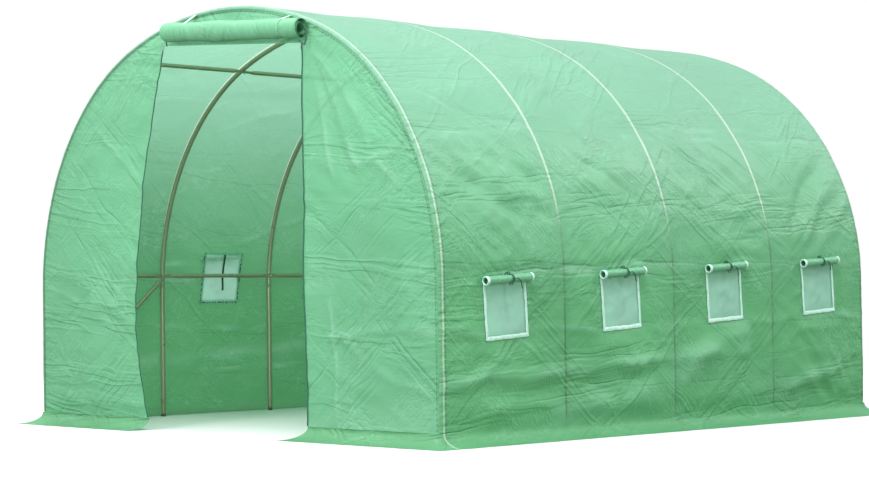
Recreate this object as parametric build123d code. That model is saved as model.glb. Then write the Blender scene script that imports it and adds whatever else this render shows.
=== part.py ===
from build123d import *

import os
from math import asin, cos, degrees, pi, radians, sin

# Walk-in polytunnel greenhouse: bent steel hoops, purlins and braces under a green woven sheet.
# Millimetres. X runs across the tunnel, Y along it from the door end to the back, Z up.
# The origin is on the ground at the middle of the plan.

# Overall sizes
tunnel_width = 3000.0  # over the hoops
tunnel_length = 3000.0  # over the end hoops
tunnel_height = 2000.0  # over the hoops, at the crown
bay_count = 4
leg_height = 700.0  # ground to the springing of the arch
side_bend_angle = 68.0  # degrees that each side tube turns through

# Hoop tubes, pushed together at reduced ends
tube_diameter = 25.0
tube_wall = 1.2
tube_sides = 8  # sides of a tube's section: few, because tubes repeat
spigot_length = 60.0
socket_end_play = 4.0
joint_clearance = 0.3  # radial, between a reduced end and the tube over it
leg_plug = 30.0  # closed length at the top of a leg's bore

# Purlins and braces: round tubes with flattened ends, bolted to the hoops
rail_diameter = 22.0
tab_thickness = 3.0
tab_neck = 36.0  # from the bolt to where the flat starts to open out
flare_length = 32.0
lower_purlin_rise = 65.0  # along the side tube, from its lower end
upper_purlin_drop = 50.0  # along the side tube, from its upper end
brace_foot_height = 90.0
brace_head_room = 0.7  # at a brace's head, where the purlins' flats lean with the bend

# Cover
sheet_thickness = 2.0
seat_gap = 0.3  # between the cover, what it lies on and what is tied to it
side_wall_rise = 250.0  # from the springing to where the side walls meet the roof
skirt_width = 110.0
skirt_fold_height = 60.0

# Door end: a doorway whose flap is rolled up and tied over it
door_width = 1275.0  # at the ground
door_header = 140.0  # from the crown down to the doorway's left corner
door_top_drop = 84.0  # how much lower its right corner is
door_lean = 200.0  # how far the left edge leans in at the top
zip_width = 16.0
zip_thickness = 1.5
door_roll_sides = 16
door_roll_diameter = 100.0
door_roll_hollow = 46.0
door_roll_length = 1050.0
door_roll_offset = 155.0  # middle of the roll, off the tunnel's middle line
door_roll_drop = 115.0  # axis of the roll at its middle, below the crown
door_roll_tilt = 4.5  # degrees, right end low
door_tie_width = 25.0
door_tie_thickness = 1.5
door_tie_shares = (-0.33, 0.44)  # places along the roll, as shares of its length

# Windows: an opening with a net sewn in, and a flap rolled up and tied over it
window_width = 250.0
window_height = 260.0
right_window_drop = 245.0  # from the springing down to the sill, at the first bay
left_window_drop = 105.0  # the cover is pulled over, so this side hangs higher
window_sill_rise = 26.0  # from one bay to the next
left_window_shift = 38.0  # towards the rear, from the middle of the bay
net_overlap = 15.0
net_thickness = 1.5
window_roll_diameter = 40.0
window_roll_hollow = 28.0
window_roll_overhang = 12.0  # past each side of the window
tie_width = 10.0
tie_thickness = 1.2
tie_tail = 70.0
strap_width = 13.0
strap_length = 200.0

cut_overrun = 40.0  # how far every cutter runs past what it cuts

# Worked-out sizes of the arch, on the tubes' centre line
tube_radius = tube_diameter / 2
half_width = tunnel_width / 2 - tube_radius
crown_height = tunnel_height - tube_radius
bend_cos = cos(radians(side_bend_angle))
bend_sin = sin(radians(side_bend_angle))
crown_share = 1 - bend_sin
side_radius = (crown_height - leg_height - crown_share * half_width / bend_cos) / (
    1 - crown_share / bend_cos
)
crown_radius = side_radius + (half_width - side_radius) / bend_cos
side_centre = half_width - side_radius
crown_centre = crown_height - crown_radius
bay_length = (tunnel_length - tube_diameter) / bay_count
hoop_places = [bay_length * (i - bay_count / 2) for i in range(bay_count + 1)]
bay_places = [bay_length * (i - (bay_count - 1) / 2) for i in range(bay_count)]

socket_radius = tube_radius - tube_wall
spigot_radius = socket_radius - joint_clearance
side_spigot_angle = degrees(spigot_length / side_radius)
crown_spigot_angle = degrees(spigot_length / crown_radius)
side_socket_angle = degrees((spigot_length + socket_end_play) / side_radius)
crown_socket_angle = degrees((spigot_length + socket_end_play) / crown_radius)

lower_purlin_angle = degrees(lower_purlin_rise / side_radius)
upper_purlin_angle = side_bend_angle - degrees(upper_purlin_drop / side_radius)
tab_pitch = tab_thickness + seat_gap
tab_seat = -(tube_radius + seat_gap + tab_thickness / 2)  # middle of the first tab, from the centre line

sheet_inside = tube_radius + seat_gap  # offset of the cover's inner face from the centre line
sheet_outside = sheet_inside + sheet_thickness
end_face = tunnel_length / 2 + seat_gap  # inner face of an end wall
end_outside = end_face + sheet_thickness
side_outside = half_width + sheet_outside
side_wall_height = leg_height + side_wall_rise
door_half = door_width / 2
door_height = tunnel_height - door_header
door_right_height = door_height - door_top_drop
door_roll_height = tunnel_height - door_roll_drop
skirt_top = skirt_fold_height + sheet_thickness

LEFT, RIGHT = -1, 1
SIDES = {"left": LEFT, "right": RIGHT}
window_drops = {LEFT: left_window_drop, RIGHT: right_window_drop}
window_shifts = {LEFT: left_window_shift, RIGHT: 0}


def side_point(side, angle, offset):
    """A point on a side bend, at an angle from its springing and an offset from the centre line."""
    radius = side_radius + offset
    turn = radians(angle)
    return (side * (side_centre + radius * cos(turn)), leg_height + radius * sin(turn))


def crown_point(angle, offset):
    """A point on the crown, at an angle from the horizontal and an offset from the centre line."""
    radius = crown_radius + offset
    turn = radians(angle)
    return (radius * cos(turn), crown_centre + radius * sin(turn))


def side_arc(side, start, end, offset):
    """The arc of a side bend between two angles."""
    middle = (start + end) / 2
    return ThreePointArc(
        side_point(side, start, offset), side_point(side, middle, offset), side_point(side, end, offset)
    )


def across(face, y_from, y_to):
    """A section drawn across the tunnel (X, Z), run along it from one place to another."""
    return Pos(0, y_to, 0) * extrude(Plane.XZ * face, amount=y_to - y_from)


def rise_angle(height, offset):
    """How far round a side bend a height lies; zero for any height on the upright leg."""
    return degrees(asin(max(height - leg_height, 0) / (side_radius + offset)))


def wall_line(side, low, high, foot, top, offset):
    """The line that follows a hoop between two heights: upright, then bent from one angle to another."""
    across_at = side * (half_width + offset)
    edges = []
    if low < leg_height:
        edges.append(Line((across_at, low), (across_at, min(high, leg_height))))
    if top > foot:
        edges.append(side_arc(side, foot, top, offset))
    return edges


def wall_section(side, low, high, offset, thickness):
    """Section of a strip that follows a hoop from one height to another."""
    foot, top = rise_angle(low, offset), rise_angle(high, offset)
    inner = wall_line(side, low, high, foot, top, offset)
    outer = wall_line(side, low, high, foot, top, offset + thickness)
    ends = [Line(inner[0] @ 0, outer[0] @ 0), Line(inner[-1] @ 1, outer[-1] @ 1)]
    return make_face([*inner, *outer, *ends])


def arch_face(offset, base):
    """The whole shape under the arch, at an offset from the centre line and from a base height up."""
    half = half_width + offset
    crown_ends = [crown_point(angle, offset) for angle in (side_bend_angle, 90, 180 - side_bend_angle)]
    crown_arc = ThreePointArc(*crown_ends)
    return make_face(
        [
            Line((half, base), (half, leg_height)),
            side_arc(RIGHT, 0, side_bend_angle, offset),
            crown_arc,
            side_arc(LEFT, side_bend_angle, 0, offset),
            Line((-half, leg_height), (-half, base)),
            Line((-half, base), (half, base)),
        ]
    )


def few_sided(half_wide, half_high, sides):
    """A round or flattened section of few sides, with corners on its axes."""
    turns = [2 * pi * k / sides for k in range(sides)]
    return make_face(Polyline(*[(half_wide * cos(t), half_high * sin(t)) for t in turns], close=True))


def tube_section(radius):
    return few_sided(radius, radius, tube_sides)


def bent_rod(centre_x, centre_z, bend_radius, rod_radius, start, sweep, y):
    """A rod bent about an axis along Y, from a start angle through a sweep."""
    turn = radians(start)
    radial = (cos(turn), 0, sin(turn))
    at = (centre_x + bend_radius * radial[0], y, centre_z + bend_radius * radial[2])
    section = Plane(origin=at, x_dir=radial, z_dir=(-sin(turn), 0, cos(turn))) * tube_section(rod_radius)
    return revolve(section, Axis((centre_x, y, centre_z), (0, -1, 0)), sweep)


def side_rod(rod_radius, start, sweep, y):
    return bent_rod(side_centre, leg_height, side_radius, rod_radius, start, sweep, y)


def crown_rod(rod_radius, start, sweep, y):
    return bent_rod(0, crown_centre, crown_radius, rod_radius, start, sweep, y)


def pair(shape):
    """A right-hand piece with its left-hand twin."""
    return [shape, mirror(shape, about=Plane.YZ)]


def leg(y):
    """Straight tube, open at the ground, with a reduced end that enters the side bend."""
    tube = Pos(half_width, y, 0) * extrude(tube_section(tube_radius), amount=leg_height)
    bore = Pos(half_width, y, 0) * extrude(tube_section(socket_radius), amount=leg_height - leg_plug)
    return tube + side_rod(spigot_radius, 0, side_spigot_angle, y) - bore


def side_bend(y):
    """Bent tube with a socket at its lower end and a reduced end that enters the crown."""
    tube = side_rod(tube_radius, 0, side_bend_angle, y)
    socket = side_rod(socket_radius, 0, side_socket_angle, y)
    spigot = crown_rod(spigot_radius, side_bend_angle, crown_spigot_angle, y)
    return tube - socket + spigot


def crown(y):
    """Bent tube across the top, with a socket at each end."""
    tube = crown_rod(tube_radius, side_bend_angle, 180 - 2 * side_bend_angle, y)
    for socket in pair(crown_rod(socket_radius, side_bend_angle, crown_socket_angle, y)):
        tube -= socket
    return tube


def flat_ended_tube(span):
    """Tube along X with both ends pressed flat (square to Z); span is from bolt to bolt."""
    radius = rail_diameter / 2
    half_tab = tab_thickness / 2
    neck = span / 2 - tab_neck
    shoulder = neck - flare_length
    taper = Polyline((shoulder, -radius), (neck, -half_tab), (neck, half_tab), (shoulder, radius), close=True)
    flare = extrude(Plane.YZ.offset(shoulder) * tube_section(radius), amount=flare_length)
    flare &= extrude(Plane.XZ * make_face(taper), amount=radius, both=True)
    tab = Pos(neck + tab_neck / 2, 0, 0) * Box(tab_neck, rail_diameter, tab_thickness)
    tip = Pos(span / 2, 0, -half_tab) * extrude(tube_section(radius), amount=tab_thickness)
    pressed_end = flare + tab + tip
    tube = extrude(Plane.YZ.offset(-shoulder) * tube_section(radius), amount=2 * shoulder)
    return tube + pressed_end + Rot(0, 0, 180) * pressed_end


def purlin(side, angle):
    """One rail of tubes along the hoops' inner side; flats of neighbouring tubes lie one on the other."""
    rails = []
    for i, y in enumerate(bay_places):
        radius = side_radius + tab_seat - (i % 2) * tab_pitch
        turn = radians(angle)
        at = (side * (side_centre + radius * cos(turn)), y, leg_height + radius * sin(turn))
        seat = Plane(origin=at, x_dir=(0, 1, 0), z_dir=(side * cos(turn), 0, sin(turn)))
        rails.append(seat * flat_ended_tube(bay_length))
    return rails


def brace(side, foot_hoop, head_hoop):
    """Diagonal from the foot of an end hoop to the lower purlin on the next one."""
    foot = Vector(side * (half_width + tab_seat), hoop_places[foot_hoop], brace_foot_height)
    head_x, head_z = side_point(side, lower_purlin_angle, tab_seat - 2 * tab_pitch - brace_head_room)
    head = Vector(head_x, hoop_places[head_hoop], head_z)
    along = head - foot
    square = Vector(side, 0, 0).cross(along).cross(along) * -1
    return Plane(origin=(foot + head) * 0.5, x_dir=along, z_dir=square) * flat_ended_tube(along.length)


def window_cutters(side):
    """Blocks that cut a side wall's windows, one in each bay."""
    return [
        Pos(side * half_width, window_place(side, i), window_sill(side, i) + window_height / 2)
        * Box(2 * (sheet_outside + cut_overrun), window_width, window_height)
        for i in range(bay_count)
    ]


def window_sill(side, bay):
    return leg_height - window_drops[side] + bay * window_sill_rise


def window_place(side, bay):
    return bay_places[bay] + window_shifts[side]


def side_wall(side):
    """Upright sheet from the skirt to the roof, with a window opening in each bay."""
    wall = across(
        wall_section(side, skirt_fold_height, side_wall_height, sheet_inside, sheet_thickness),
        -end_outside,
        end_outside,
    )
    for cutter in window_cutters(side):
        wall -= cutter
    return wall


def roof_slope(side):
    """Curved sheet over the side bends, between a side wall and the crown."""
    low = rise_angle(side_wall_height, sheet_inside)
    inner = side_arc(side, low, side_bend_angle, sheet_inside)
    outer = side_arc(side, low, side_bend_angle, sheet_outside)
    section = make_face([inner, outer, Line(inner @ 0, outer @ 0), Line(inner @ 1, outer @ 1)])
    return across(section, -end_outside, end_outside)


def roof_crown():
    """Curved sheet over the crowns of the hoops."""
    edges = []
    for offset in (sheet_inside, sheet_outside):
        ends = [crown_point(angle, offset) for angle in (side_bend_angle, 90, 180 - side_bend_angle)]
        edges.append(ThreePointArc(*ends))
    inner, outer = edges
    section = make_face([inner, outer, Line(inner @ 0, outer @ 0), Line(inner @ 1, outer @ 1)])
    return across(section, -end_outside, end_outside)


def end_sheet():
    """The flat shape that closes an end, from the skirt's fold up to the arch."""
    return arch_face(tube_radius, skirt_fold_height)


def front_sheets():
    """Door end in three pieces: left and right of the doorway, and over it."""
    far = half_width + sheet_outside + cut_overrun
    top = tunnel_height + cut_overrun
    left_top = -door_half + door_lean
    left_of_door = make_face(
        Polyline(
            (-far, 0), (-door_half, 0), (-door_half, skirt_fold_height), (left_top, door_height),
            (left_top, top), (-far, top), close=True,
        )
    )
    right_of_door = make_face(Polyline((door_half, 0), (far, 0), (far, top), (door_half, top), close=True))
    over_door = make_face(
        Polyline(
            (left_top, door_height), (door_half, door_right_height), (door_half, top), (left_top, top),
            close=True,
        )
    )
    return [
        across(end_sheet() & region, -end_outside, -end_face)
        for region in (left_of_door, right_of_door, over_door)
    ]


def zips():
    """Zip tapes down both sides of the doorway, on the outside of the sheet."""
    low = skirt_top + seat_gap
    rise_share = (low - skirt_fold_height) / (door_height - skirt_fold_height)
    left_low = -door_half + door_lean * rise_share
    left_top = -door_half + door_lean
    left = Polyline(
        (left_low, low), (left_top, door_height), (left_top - zip_width, door_height),
        (left_low - zip_width, low), close=True,
    )
    right = Polyline(
        (door_half, low), (door_half + zip_width, low), (door_half + zip_width, door_right_height),
        (door_half, door_right_height), close=True,
    )
    return [across(make_face(tape), -end_outside - zip_thickness, -end_outside) for tape in (left, right)]


def ring(outer, inner, length, sides):
    """A hollow roll or band along X."""
    section = few_sided(outer, outer, sides) - few_sided(inner, inner, sides)
    return extrude(Plane.YZ.offset(-length / 2) * section, amount=length)


def door_roll_frame():
    """Where the rolled flap lies: in front of the sheet over the door, with room for its ties."""
    reach = door_roll_diameter / 2 + seat_gap + door_tie_thickness + seat_gap
    return Pos(door_roll_offset, -end_outside - reach, door_roll_height) * Rot(0, door_roll_tilt, 0)


def door_roll():
    roll = ring(door_roll_diameter / 2, door_roll_hollow / 2, door_roll_length, door_roll_sides)
    return door_roll_frame() * roll


def door_ties():
    """Bands that hold the rolled flap up."""
    inner = door_roll_diameter / 2 + seat_gap
    band = ring(inner + door_tie_thickness, inner, door_tie_width, door_roll_sides)
    return [door_roll_frame() * Pos(share * door_roll_length, 0, 0) * band for share in door_tie_shares]


def window_net(side, bay):
    """Net sewn inside the wall, lapping past the opening all round."""
    sill = window_sill(side, bay)
    low, high = sill - net_overlap, sill + window_height + net_overlap
    section = wall_section(side, low, high, sheet_inside - net_thickness, net_thickness)
    half = window_width / 2 + net_overlap
    place = window_place(side, bay)
    return across(section, place - half, place + half)


def window_roll_frame(side, bay):
    """Where a window's rolled flap lies: outside the wall, over the top of the opening."""
    offset = sheet_outside + window_roll_diameter / 2 + seat_gap + tie_thickness + seat_gap
    height = window_sill(side, bay) + window_height
    x, _ = side_point(side, rise_angle(height, offset), offset)
    return Pos(x, window_place(side, bay), height) * Rot(0, 0, 90)


def window_roll(side, bay):
    length = window_width + 2 * window_roll_overhang
    roll = ring(window_roll_diameter / 2, window_roll_hollow / 2, length, tube_sides)
    return window_roll_frame(side, bay) * roll


def window_tie(side, bay):
    """Band round the rolled flap, with a loose tail hanging down its outer side."""
    inner = window_roll_diameter / 2 + seat_gap
    band = ring(inner + tie_thickness, inner, tie_width, tube_sides)
    hang = Pos(0, -side * (inner + tie_thickness / 2), -tie_tail / 2)
    tail = hang * Box(tie_width, tie_thickness, tie_tail)
    return window_roll_frame(side, bay) * (band + tail)


def window_strap(side, bay):
    """Tie strap that hangs inside the wall, against the net."""
    head = window_sill(side, bay) + window_height
    offset = sheet_inside - net_thickness - seat_gap - tie_thickness
    section = wall_section(side, head - strap_length, head, offset, tie_thickness)
    place = window_place(side, bay)
    return across(section, place - strap_width / 2, place + strap_width / 2)


def skirt_slope(reach):
    """Section of a skirt that starts at a wall's outer face and slopes down to the ground."""
    return make_face(
        Polyline(
            (reach, skirt_fold_height), (reach + skirt_width, 0), (reach + skirt_width, sheet_thickness),
            (reach, skirt_top), close=True,
        )
    )


def skirt(inner_low, inner_high, outer_low, outer_high, reach):
    """A skirt along Y on the +X side, cut to a four-sided plan: the ends of its inner and outer edges."""
    run = max(abs(outer_low), abs(outer_high)) + cut_overrun
    band = across(skirt_slope(reach), -run, run)
    outer = reach + skirt_width
    plan = make_face(
        Polyline((reach, inner_low), (outer, outer_low), (outer, outer_high), (reach, inner_high), close=True)
    )
    return band & extrude(plan, amount=skirt_top)


def side_skirt(side):
    flared = end_outside + skirt_width
    band = skirt(-end_outside, end_outside, -flared, flared, side_outside)
    return band if side == RIGHT else mirror(band, about=Plane.YZ)


def end_skirt(low, high):
    """A skirt on the door end, between two places across it; a corner runs out to the mitre."""
    outer_low = low - skirt_width if low == -side_outside else low
    outer_high = high + skirt_width if high == side_outside else high
    return Rot(0, 0, -90) * skirt(low, high, outer_low, outer_high, end_outside)


def rear_skirt():
    return mirror(end_skirt(-side_outside, side_outside), about=Plane.XZ)


def build_nodes():
    """Every sub-part by name, as a list of solids."""
    nodes = {}
    for number, y in enumerate(hoop_places, start=1):
        nodes[f"hoop_{number}_legs"] = pair(leg(y))
        nodes[f"hoop_{number}_side_bends"] = pair(side_bend(y))
        nodes[f"hoop_{number}_crown"] = [crown(y)]
    bays = range(bay_count)
    for name, side in SIDES.items():
        nodes[f"{name}_lower_purlin"] = purlin(side, lower_purlin_angle)
        nodes[f"{name}_upper_purlin"] = purlin(side, upper_purlin_angle)
        nodes[f"front_{name}_brace"] = [brace(side, 0, 1)]
        nodes[f"rear_{name}_brace"] = [brace(side, bay_count, bay_count - 1)]
        nodes[f"{name}_side_wall"] = [side_wall(side)]
        nodes[f"{name}_roof_slope"] = [roof_slope(side)]
        nodes[f"{name}_skirt"] = [side_skirt(side)]
        nodes[f"{name}_window_nets"] = [window_net(side, bay) for bay in bays]
        nodes[f"{name}_window_rolls"] = [window_roll(side, bay) for bay in bays]
    nodes["roof_crown"] = [roof_crown()]
    nodes["front_left_wall"], nodes["front_right_wall"], nodes["front_header"] = [[s] for s in front_sheets()]
    nodes["rear_wall"] = [across(end_sheet(), end_face, end_outside)]
    nodes["front_left_skirt"] = [end_skirt(-side_outside, -door_half)]
    nodes["front_right_skirt"] = [end_skirt(door_half, side_outside)]
    nodes["rear_skirt"] = [rear_skirt()]
    nodes["door_zips"] = zips()
    nodes["door_roll"] = [door_roll()]
    nodes["door_ties"] = door_ties()
    both = [(side, bay) for side in SIDES.values() for bay in bays]
    nodes["window_ties"] = [window_tie(side, bay) for side, bay in both]
    nodes["window_straps"] = [window_strap(side, bay) for side, bay in both]
    return nodes


os.makedirs("parts", exist_ok=True)
for node, shapes in build_nodes().items():
    solids = [solid for shape in shapes for solid in shape.solids()]
    export_step(Compound(children=solids), f"parts/{node}.step")
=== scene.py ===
"""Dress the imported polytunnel: woven cover, rolled flaps, netted windows, zips, ties and bolts."""

from math import acos, asin, atan2, cos, exp, floor, hypot, pi, radians, sin

import bmesh
import bpy
from bpy.props import FloatProperty, FloatVectorProperty, IntProperty, PointerProperty
from mathutils import Matrix, Vector, noise


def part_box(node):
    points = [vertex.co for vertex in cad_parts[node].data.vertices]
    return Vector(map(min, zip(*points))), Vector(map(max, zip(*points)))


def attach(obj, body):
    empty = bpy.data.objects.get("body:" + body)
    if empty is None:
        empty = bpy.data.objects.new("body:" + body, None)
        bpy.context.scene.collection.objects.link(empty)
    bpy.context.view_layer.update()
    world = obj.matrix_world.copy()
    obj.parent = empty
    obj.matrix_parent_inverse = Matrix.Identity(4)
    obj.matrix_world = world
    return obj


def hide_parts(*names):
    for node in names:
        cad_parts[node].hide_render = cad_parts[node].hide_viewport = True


bl_info = {
    "name": "Polytunnel cover and finish",
    "version": (1, 0, 0),
    "blender": (4, 5, 0),
    "location": "View3D > Sidebar > Polytunnel",
    "description": "Makes the woven cover, flaps, windows, bolts and finishes of a walk-in polytunnel",
    "category": "Object",
}

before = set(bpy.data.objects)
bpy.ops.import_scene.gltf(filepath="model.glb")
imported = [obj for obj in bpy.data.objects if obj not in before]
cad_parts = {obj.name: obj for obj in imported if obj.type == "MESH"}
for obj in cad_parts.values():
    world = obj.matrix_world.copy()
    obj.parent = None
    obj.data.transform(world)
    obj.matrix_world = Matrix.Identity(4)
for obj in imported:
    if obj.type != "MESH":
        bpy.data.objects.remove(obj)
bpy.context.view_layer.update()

# The folds stray by seeded noise, so every run gives the same sheet
noise.seed_set(5)

# Measures of the frame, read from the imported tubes
LEGS_LOW, LEGS_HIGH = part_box("hoop_1_legs")
REAR_LOW, REAR_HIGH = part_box("hoop_5_legs")
TUBE = (LEGS_HIGH[1] - LEGS_LOW[1]) / 2
HALF = LEGS_HIGH[0] - TUBE
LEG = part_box("hoop_1_side_bends")[0][2]
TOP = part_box("hoop_1_crown")[1][2] - TUBE
BEND = radians(68)
CROWN_RISE = 1 - sin(BEND)
SIDE_RADIUS = (TOP - LEG - CROWN_RISE * HALF / cos(BEND)) / (1 - CROWN_RISE / cos(BEND))
CROWN_RADIUS = SIDE_RADIUS + (HALF - SIDE_RADIUS) / cos(BEND)
SIDE_CENTRE = HALF - SIDE_RADIUS
CROWN_CENTRE = TOP - CROWN_RADIUS
CROWN_RUN = CROWN_RADIUS * (pi / 2 - BEND)
SIDE_RUN = SIDE_RADIUS * BEND
FIRST_HOOP = (LEGS_LOW[1] + LEGS_HIGH[1]) / 2
LAST_HOOP = (REAR_LOW[1] + REAR_HIGH[1]) / 2
BAYS = 4
BAY = (LAST_HOOP - FIRST_HOOP) / BAYS
HOOPS = [FIRST_HOOP + BAY * i for i in range(BAYS + 1)]
BAY_MIDDLES = [FIRST_HOOP + BAY * (i + 0.5) for i in range(BAYS)]
WALL_LOW, WALL_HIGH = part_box("rear_wall")
FOLD = WALL_LOW[2]
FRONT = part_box("front_left_wall")[0][1]
REAR = WALL_HIGH[1]
SKIRT_LOW, SKIRT_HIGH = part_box("right_skirt")
SKIRT = SKIRT_HIGH[0] - SKIRT_LOW[0]
LIE = TUBE + 0.0016
FOLD_RUN = CROWN_RUN + SIDE_RUN + LEG - FOLD
NETS_LOW, NETS_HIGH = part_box("left_window_nets")
LEFT_SHIFT = (NETS_LOW[1] + NETS_HIGH[1]) / 2

# Sills of the first windows, and how much higher each next one is
RIGHT_SILL, LEFT_SILL, SILL_RISE = 0.455, 0.595, 0.026

# Runs down from the crown of the creases along which the cover was packed
PACK_CREASES = (0.62, 1.06, 1.44, 1.51, 2.13, 2.41, 2.68)

# A fold narrower than the first has straight flanks, and than the second a worn crest
TENT_WIDTH, WORN_WIDTH = 0.034, 0.02
FOLD_GAIN = 1.7


def length_property(name, description, default):
    return FloatProperty(name=name, description=description, default=default, unit="LENGTH")


def colour_property(name, description, default):
    return FloatVectorProperty(name=name, description=description, default=default, subtype="COLOR")


class TunnelSizes(bpy.types.PropertyGroup):
    """Sizes of the cover and its fittings"""

    mesh_step: length_property("Sheet step", "Spacing of the cover's mesh", 0.0143)
    bay_sag: length_property("Sag", "How far the roof sags between hoops", 0.011)
    crease: length_property("Crease", "Height of the cover's folds and creases", 0.017)
    window_width: length_property("Window width", "Opening, along the tunnel", 0.25)
    window_height: length_property("Window height", "Opening, from sill to head", 0.26)
    window_lean: FloatProperty(
        name="Window lean", description="How far a window on the right leans, as a slope", default=0.06
    )
    left_lean: FloatProperty(
        name="Left window lean", description="How far a window on the left leans, as a slope", default=-0.12
    )
    binding: length_property("Binding", "Width of the pale binding round a window", 0.015)
    zip_width: length_property("Zip tape", "Width of the zip tape along the doorway", 0.0068)
    roll_turns: IntProperty(name="Door roll turns", description="Turns of the rolled door flap", default=9)
    bolt_size: length_property("Bolt", "Thread size of the frame's bolts", 0.006)


class TunnelColours(bpy.types.PropertyGroup):
    """Colours of the cover, frame and fittings"""

    cover: colour_property("Cover", "Woven sheet", (0.15, 0.46, 0.215))
    # Lighter than the cover's green: painted sheen of the light on the door end and its flaps
    front: colour_property("Front", "Door end and flaps", (0.2, 0.53, 0.31))
    skirt: colour_property("Skirt", "Sheet that lies on the ground", (0.14, 0.39, 0.195))
    tube: colour_property("Tube", "Painted tube", (0.43, 0.43, 0.31))
    net: colour_property("Net", "Window net", (0.47, 0.8, 0.67))
    binding: colour_property("Binding", "Window binding and door ties", (0.6, 0.78, 0.7))
    zip_tape: colour_property("Zip tape", "Zip tape and stitches", (0.018, 0.12, 0.07))
    webbing: colour_property("Webbing", "Dark window ties", (0.016, 0.09, 0.06))
    zinc: colour_property("Zinc", "Bolts and nuts", (0.55, 0.55, 0.53))


def sizes():
    return bpy.context.scene.tunnel_sizes


def colours():
    return bpy.context.scene.tunnel_colours


# Shape of the arch

def arch(run, offset):
    """The place (x, z) and the outward direction at a run along the arch from the crown, right positive."""
    side = 1 if run >= 0 else -1
    run = abs(run)
    if run <= CROWN_RUN:
        turn, centre_x, centre_z, radius = pi / 2 - run / CROWN_RADIUS, 0, CROWN_CENTRE, CROWN_RADIUS
    elif run <= CROWN_RUN + SIDE_RUN:
        turn = BEND - (run - CROWN_RUN) / SIDE_RADIUS
        centre_x, centre_z, radius = SIDE_CENTRE, LEG, SIDE_RADIUS
    else:
        return side * (HALF + offset), LEG - (run - CROWN_RUN - SIDE_RUN), side, 0
    reach = radius + offset
    return side * (centre_x + reach * cos(turn)), centre_z + reach * sin(turn), side * cos(turn), sin(turn)


def run_at(height, offset=0.0):
    """How far along the arch from the crown a height on the leg or the side bend lies."""
    if height <= LEG:
        return CROWN_RUN + SIDE_RUN + LEG - height
    return CROWN_RUN + SIDE_RADIUS * (BEND - asin((height - LEG) / (SIDE_RADIUS + offset)))


def run_over(x):
    """How far along the crown from the middle the arch stands over a place across the tunnel."""
    return CROWN_RADIUS * asin(x / (CROWN_RADIUS + TUBE))


def window_sill(side, bay):
    """Sill of a window: the cover is pulled over to one side, and up towards the rear."""
    return (RIGHT_SILL if side > 0 else LEFT_SILL) + SILL_RISE * bay


def window_middle(side, bay):
    """Place along of a window's middle: on the left they sit a little towards the rear."""
    return BAY_MIDDLES[bay] + (0 if side > 0 else LEFT_SHIFT)


# Mesh helpers

def spaced(stops, step):
    """Evenly spaced places that keep every stop."""
    places = []
    for low, high in zip(stops, stops[1:]):
        count = max(1, round((high - low) / step))
        places += [low + (high - low) * k / count for k in range(count)]
    return places + [stops[-1]]


def grid_sheet(bm, columns, rows, place, flat, seam=None):
    """Add a grid to bm, with a vertex for each column and row.

    place gives a vertex's point, flat its UV and seam its marks. Returns the vertices, and where each one is.
    """
    uv = bm.loops.layers.uv.verify()
    marks = bm.verts.layers.float_vector.get("Seam") or bm.verts.layers.float_vector.new("Seam")
    across, along = len(columns) - 1, len(rows) - 1
    made = bmesh.ops.create_grid(bm, x_segments=across, y_segments=along, size=0.5)["verts"]
    spots = {}
    for v in made:
        spot = (columns[round((v.co.x + 0.5) * across)], rows[round((v.co.y + 0.5) * along)])
        spots[v] = spot
        v.co = place(*spot)
        if seam:
            v[marks] = seam(*spot)
    for f in {f for v in made for f in v.link_faces}:
        for loop in f.loops:
            loop[uv].uv = flat(*spots[loop.vert])
    return made, spots


def finish_piece(name, bm, material, replaced=(), smooth=True, turn_out=None):
    """Make an object of bm that rides with the tunnel."""
    if turn_out is not None:
        bm.faces.ensure_lookup_table()
        if sum(f.normal.dot(turn_out(f.calc_center_median())) for f in bm.faces) < 0:
            bmesh.ops.reverse_faces(bm, faces=bm.faces[:])
    mesh = bpy.data.meshes.new(name)
    bm.to_mesh(mesh)
    bm.free()
    for p in mesh.polygons:
        p.use_smooth = smooth
    piece = bpy.data.objects.new(name, mesh)
    bpy.context.scene.collection.objects.link(piece)
    mesh.materials.append(material)
    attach(piece, "root")
    if replaced:
        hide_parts(*replaced)
    return piece


def curve_through(points, t):
    """The value at t of a smooth line through (t, value) points."""
    last = len(points) - 1
    k = 0
    while k < last - 1 and t > points[k + 1][0]:
        k += 1
    t0, v0 = points[k]
    t1, v1 = points[k + 1]
    before = points[max(k - 1, 0)]
    after = points[min(k + 2, last)]
    slope0 = (v1 - before[1]) / (t1 - before[0])
    slope1 = (after[1] - v0) / (after[0] - t0)
    span = t1 - t0
    f = min(max((t - t0) / span, 0), 1)
    ease = f * f * (3 - 2 * f)
    return (
        v0 * (1 - ease)
        + v1 * ease
        + span * f * (1 - f) * ((1 - f) * slope0 - f * slope1)
    )


def smooth_share(value, low, high):
    """How far a value is from low to high, from 0 to 1 with soft ends."""
    f = min(max((value - low) / (high - low), 0), 1)
    return f * f * (3 - 2 * f)


def ridge(a, b, turn, scale, stretch, seed):
    """Sharp-crested folds that run in one direction, from -1 to 1."""
    along = a * cos(turn) + b * sin(turn)
    across = b * cos(turn) - a * sin(turn)
    value = noise.noise(Vector((along * scale * stretch, across * scale, seed)))
    return 1 - 2.4 * abs(value)


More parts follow.
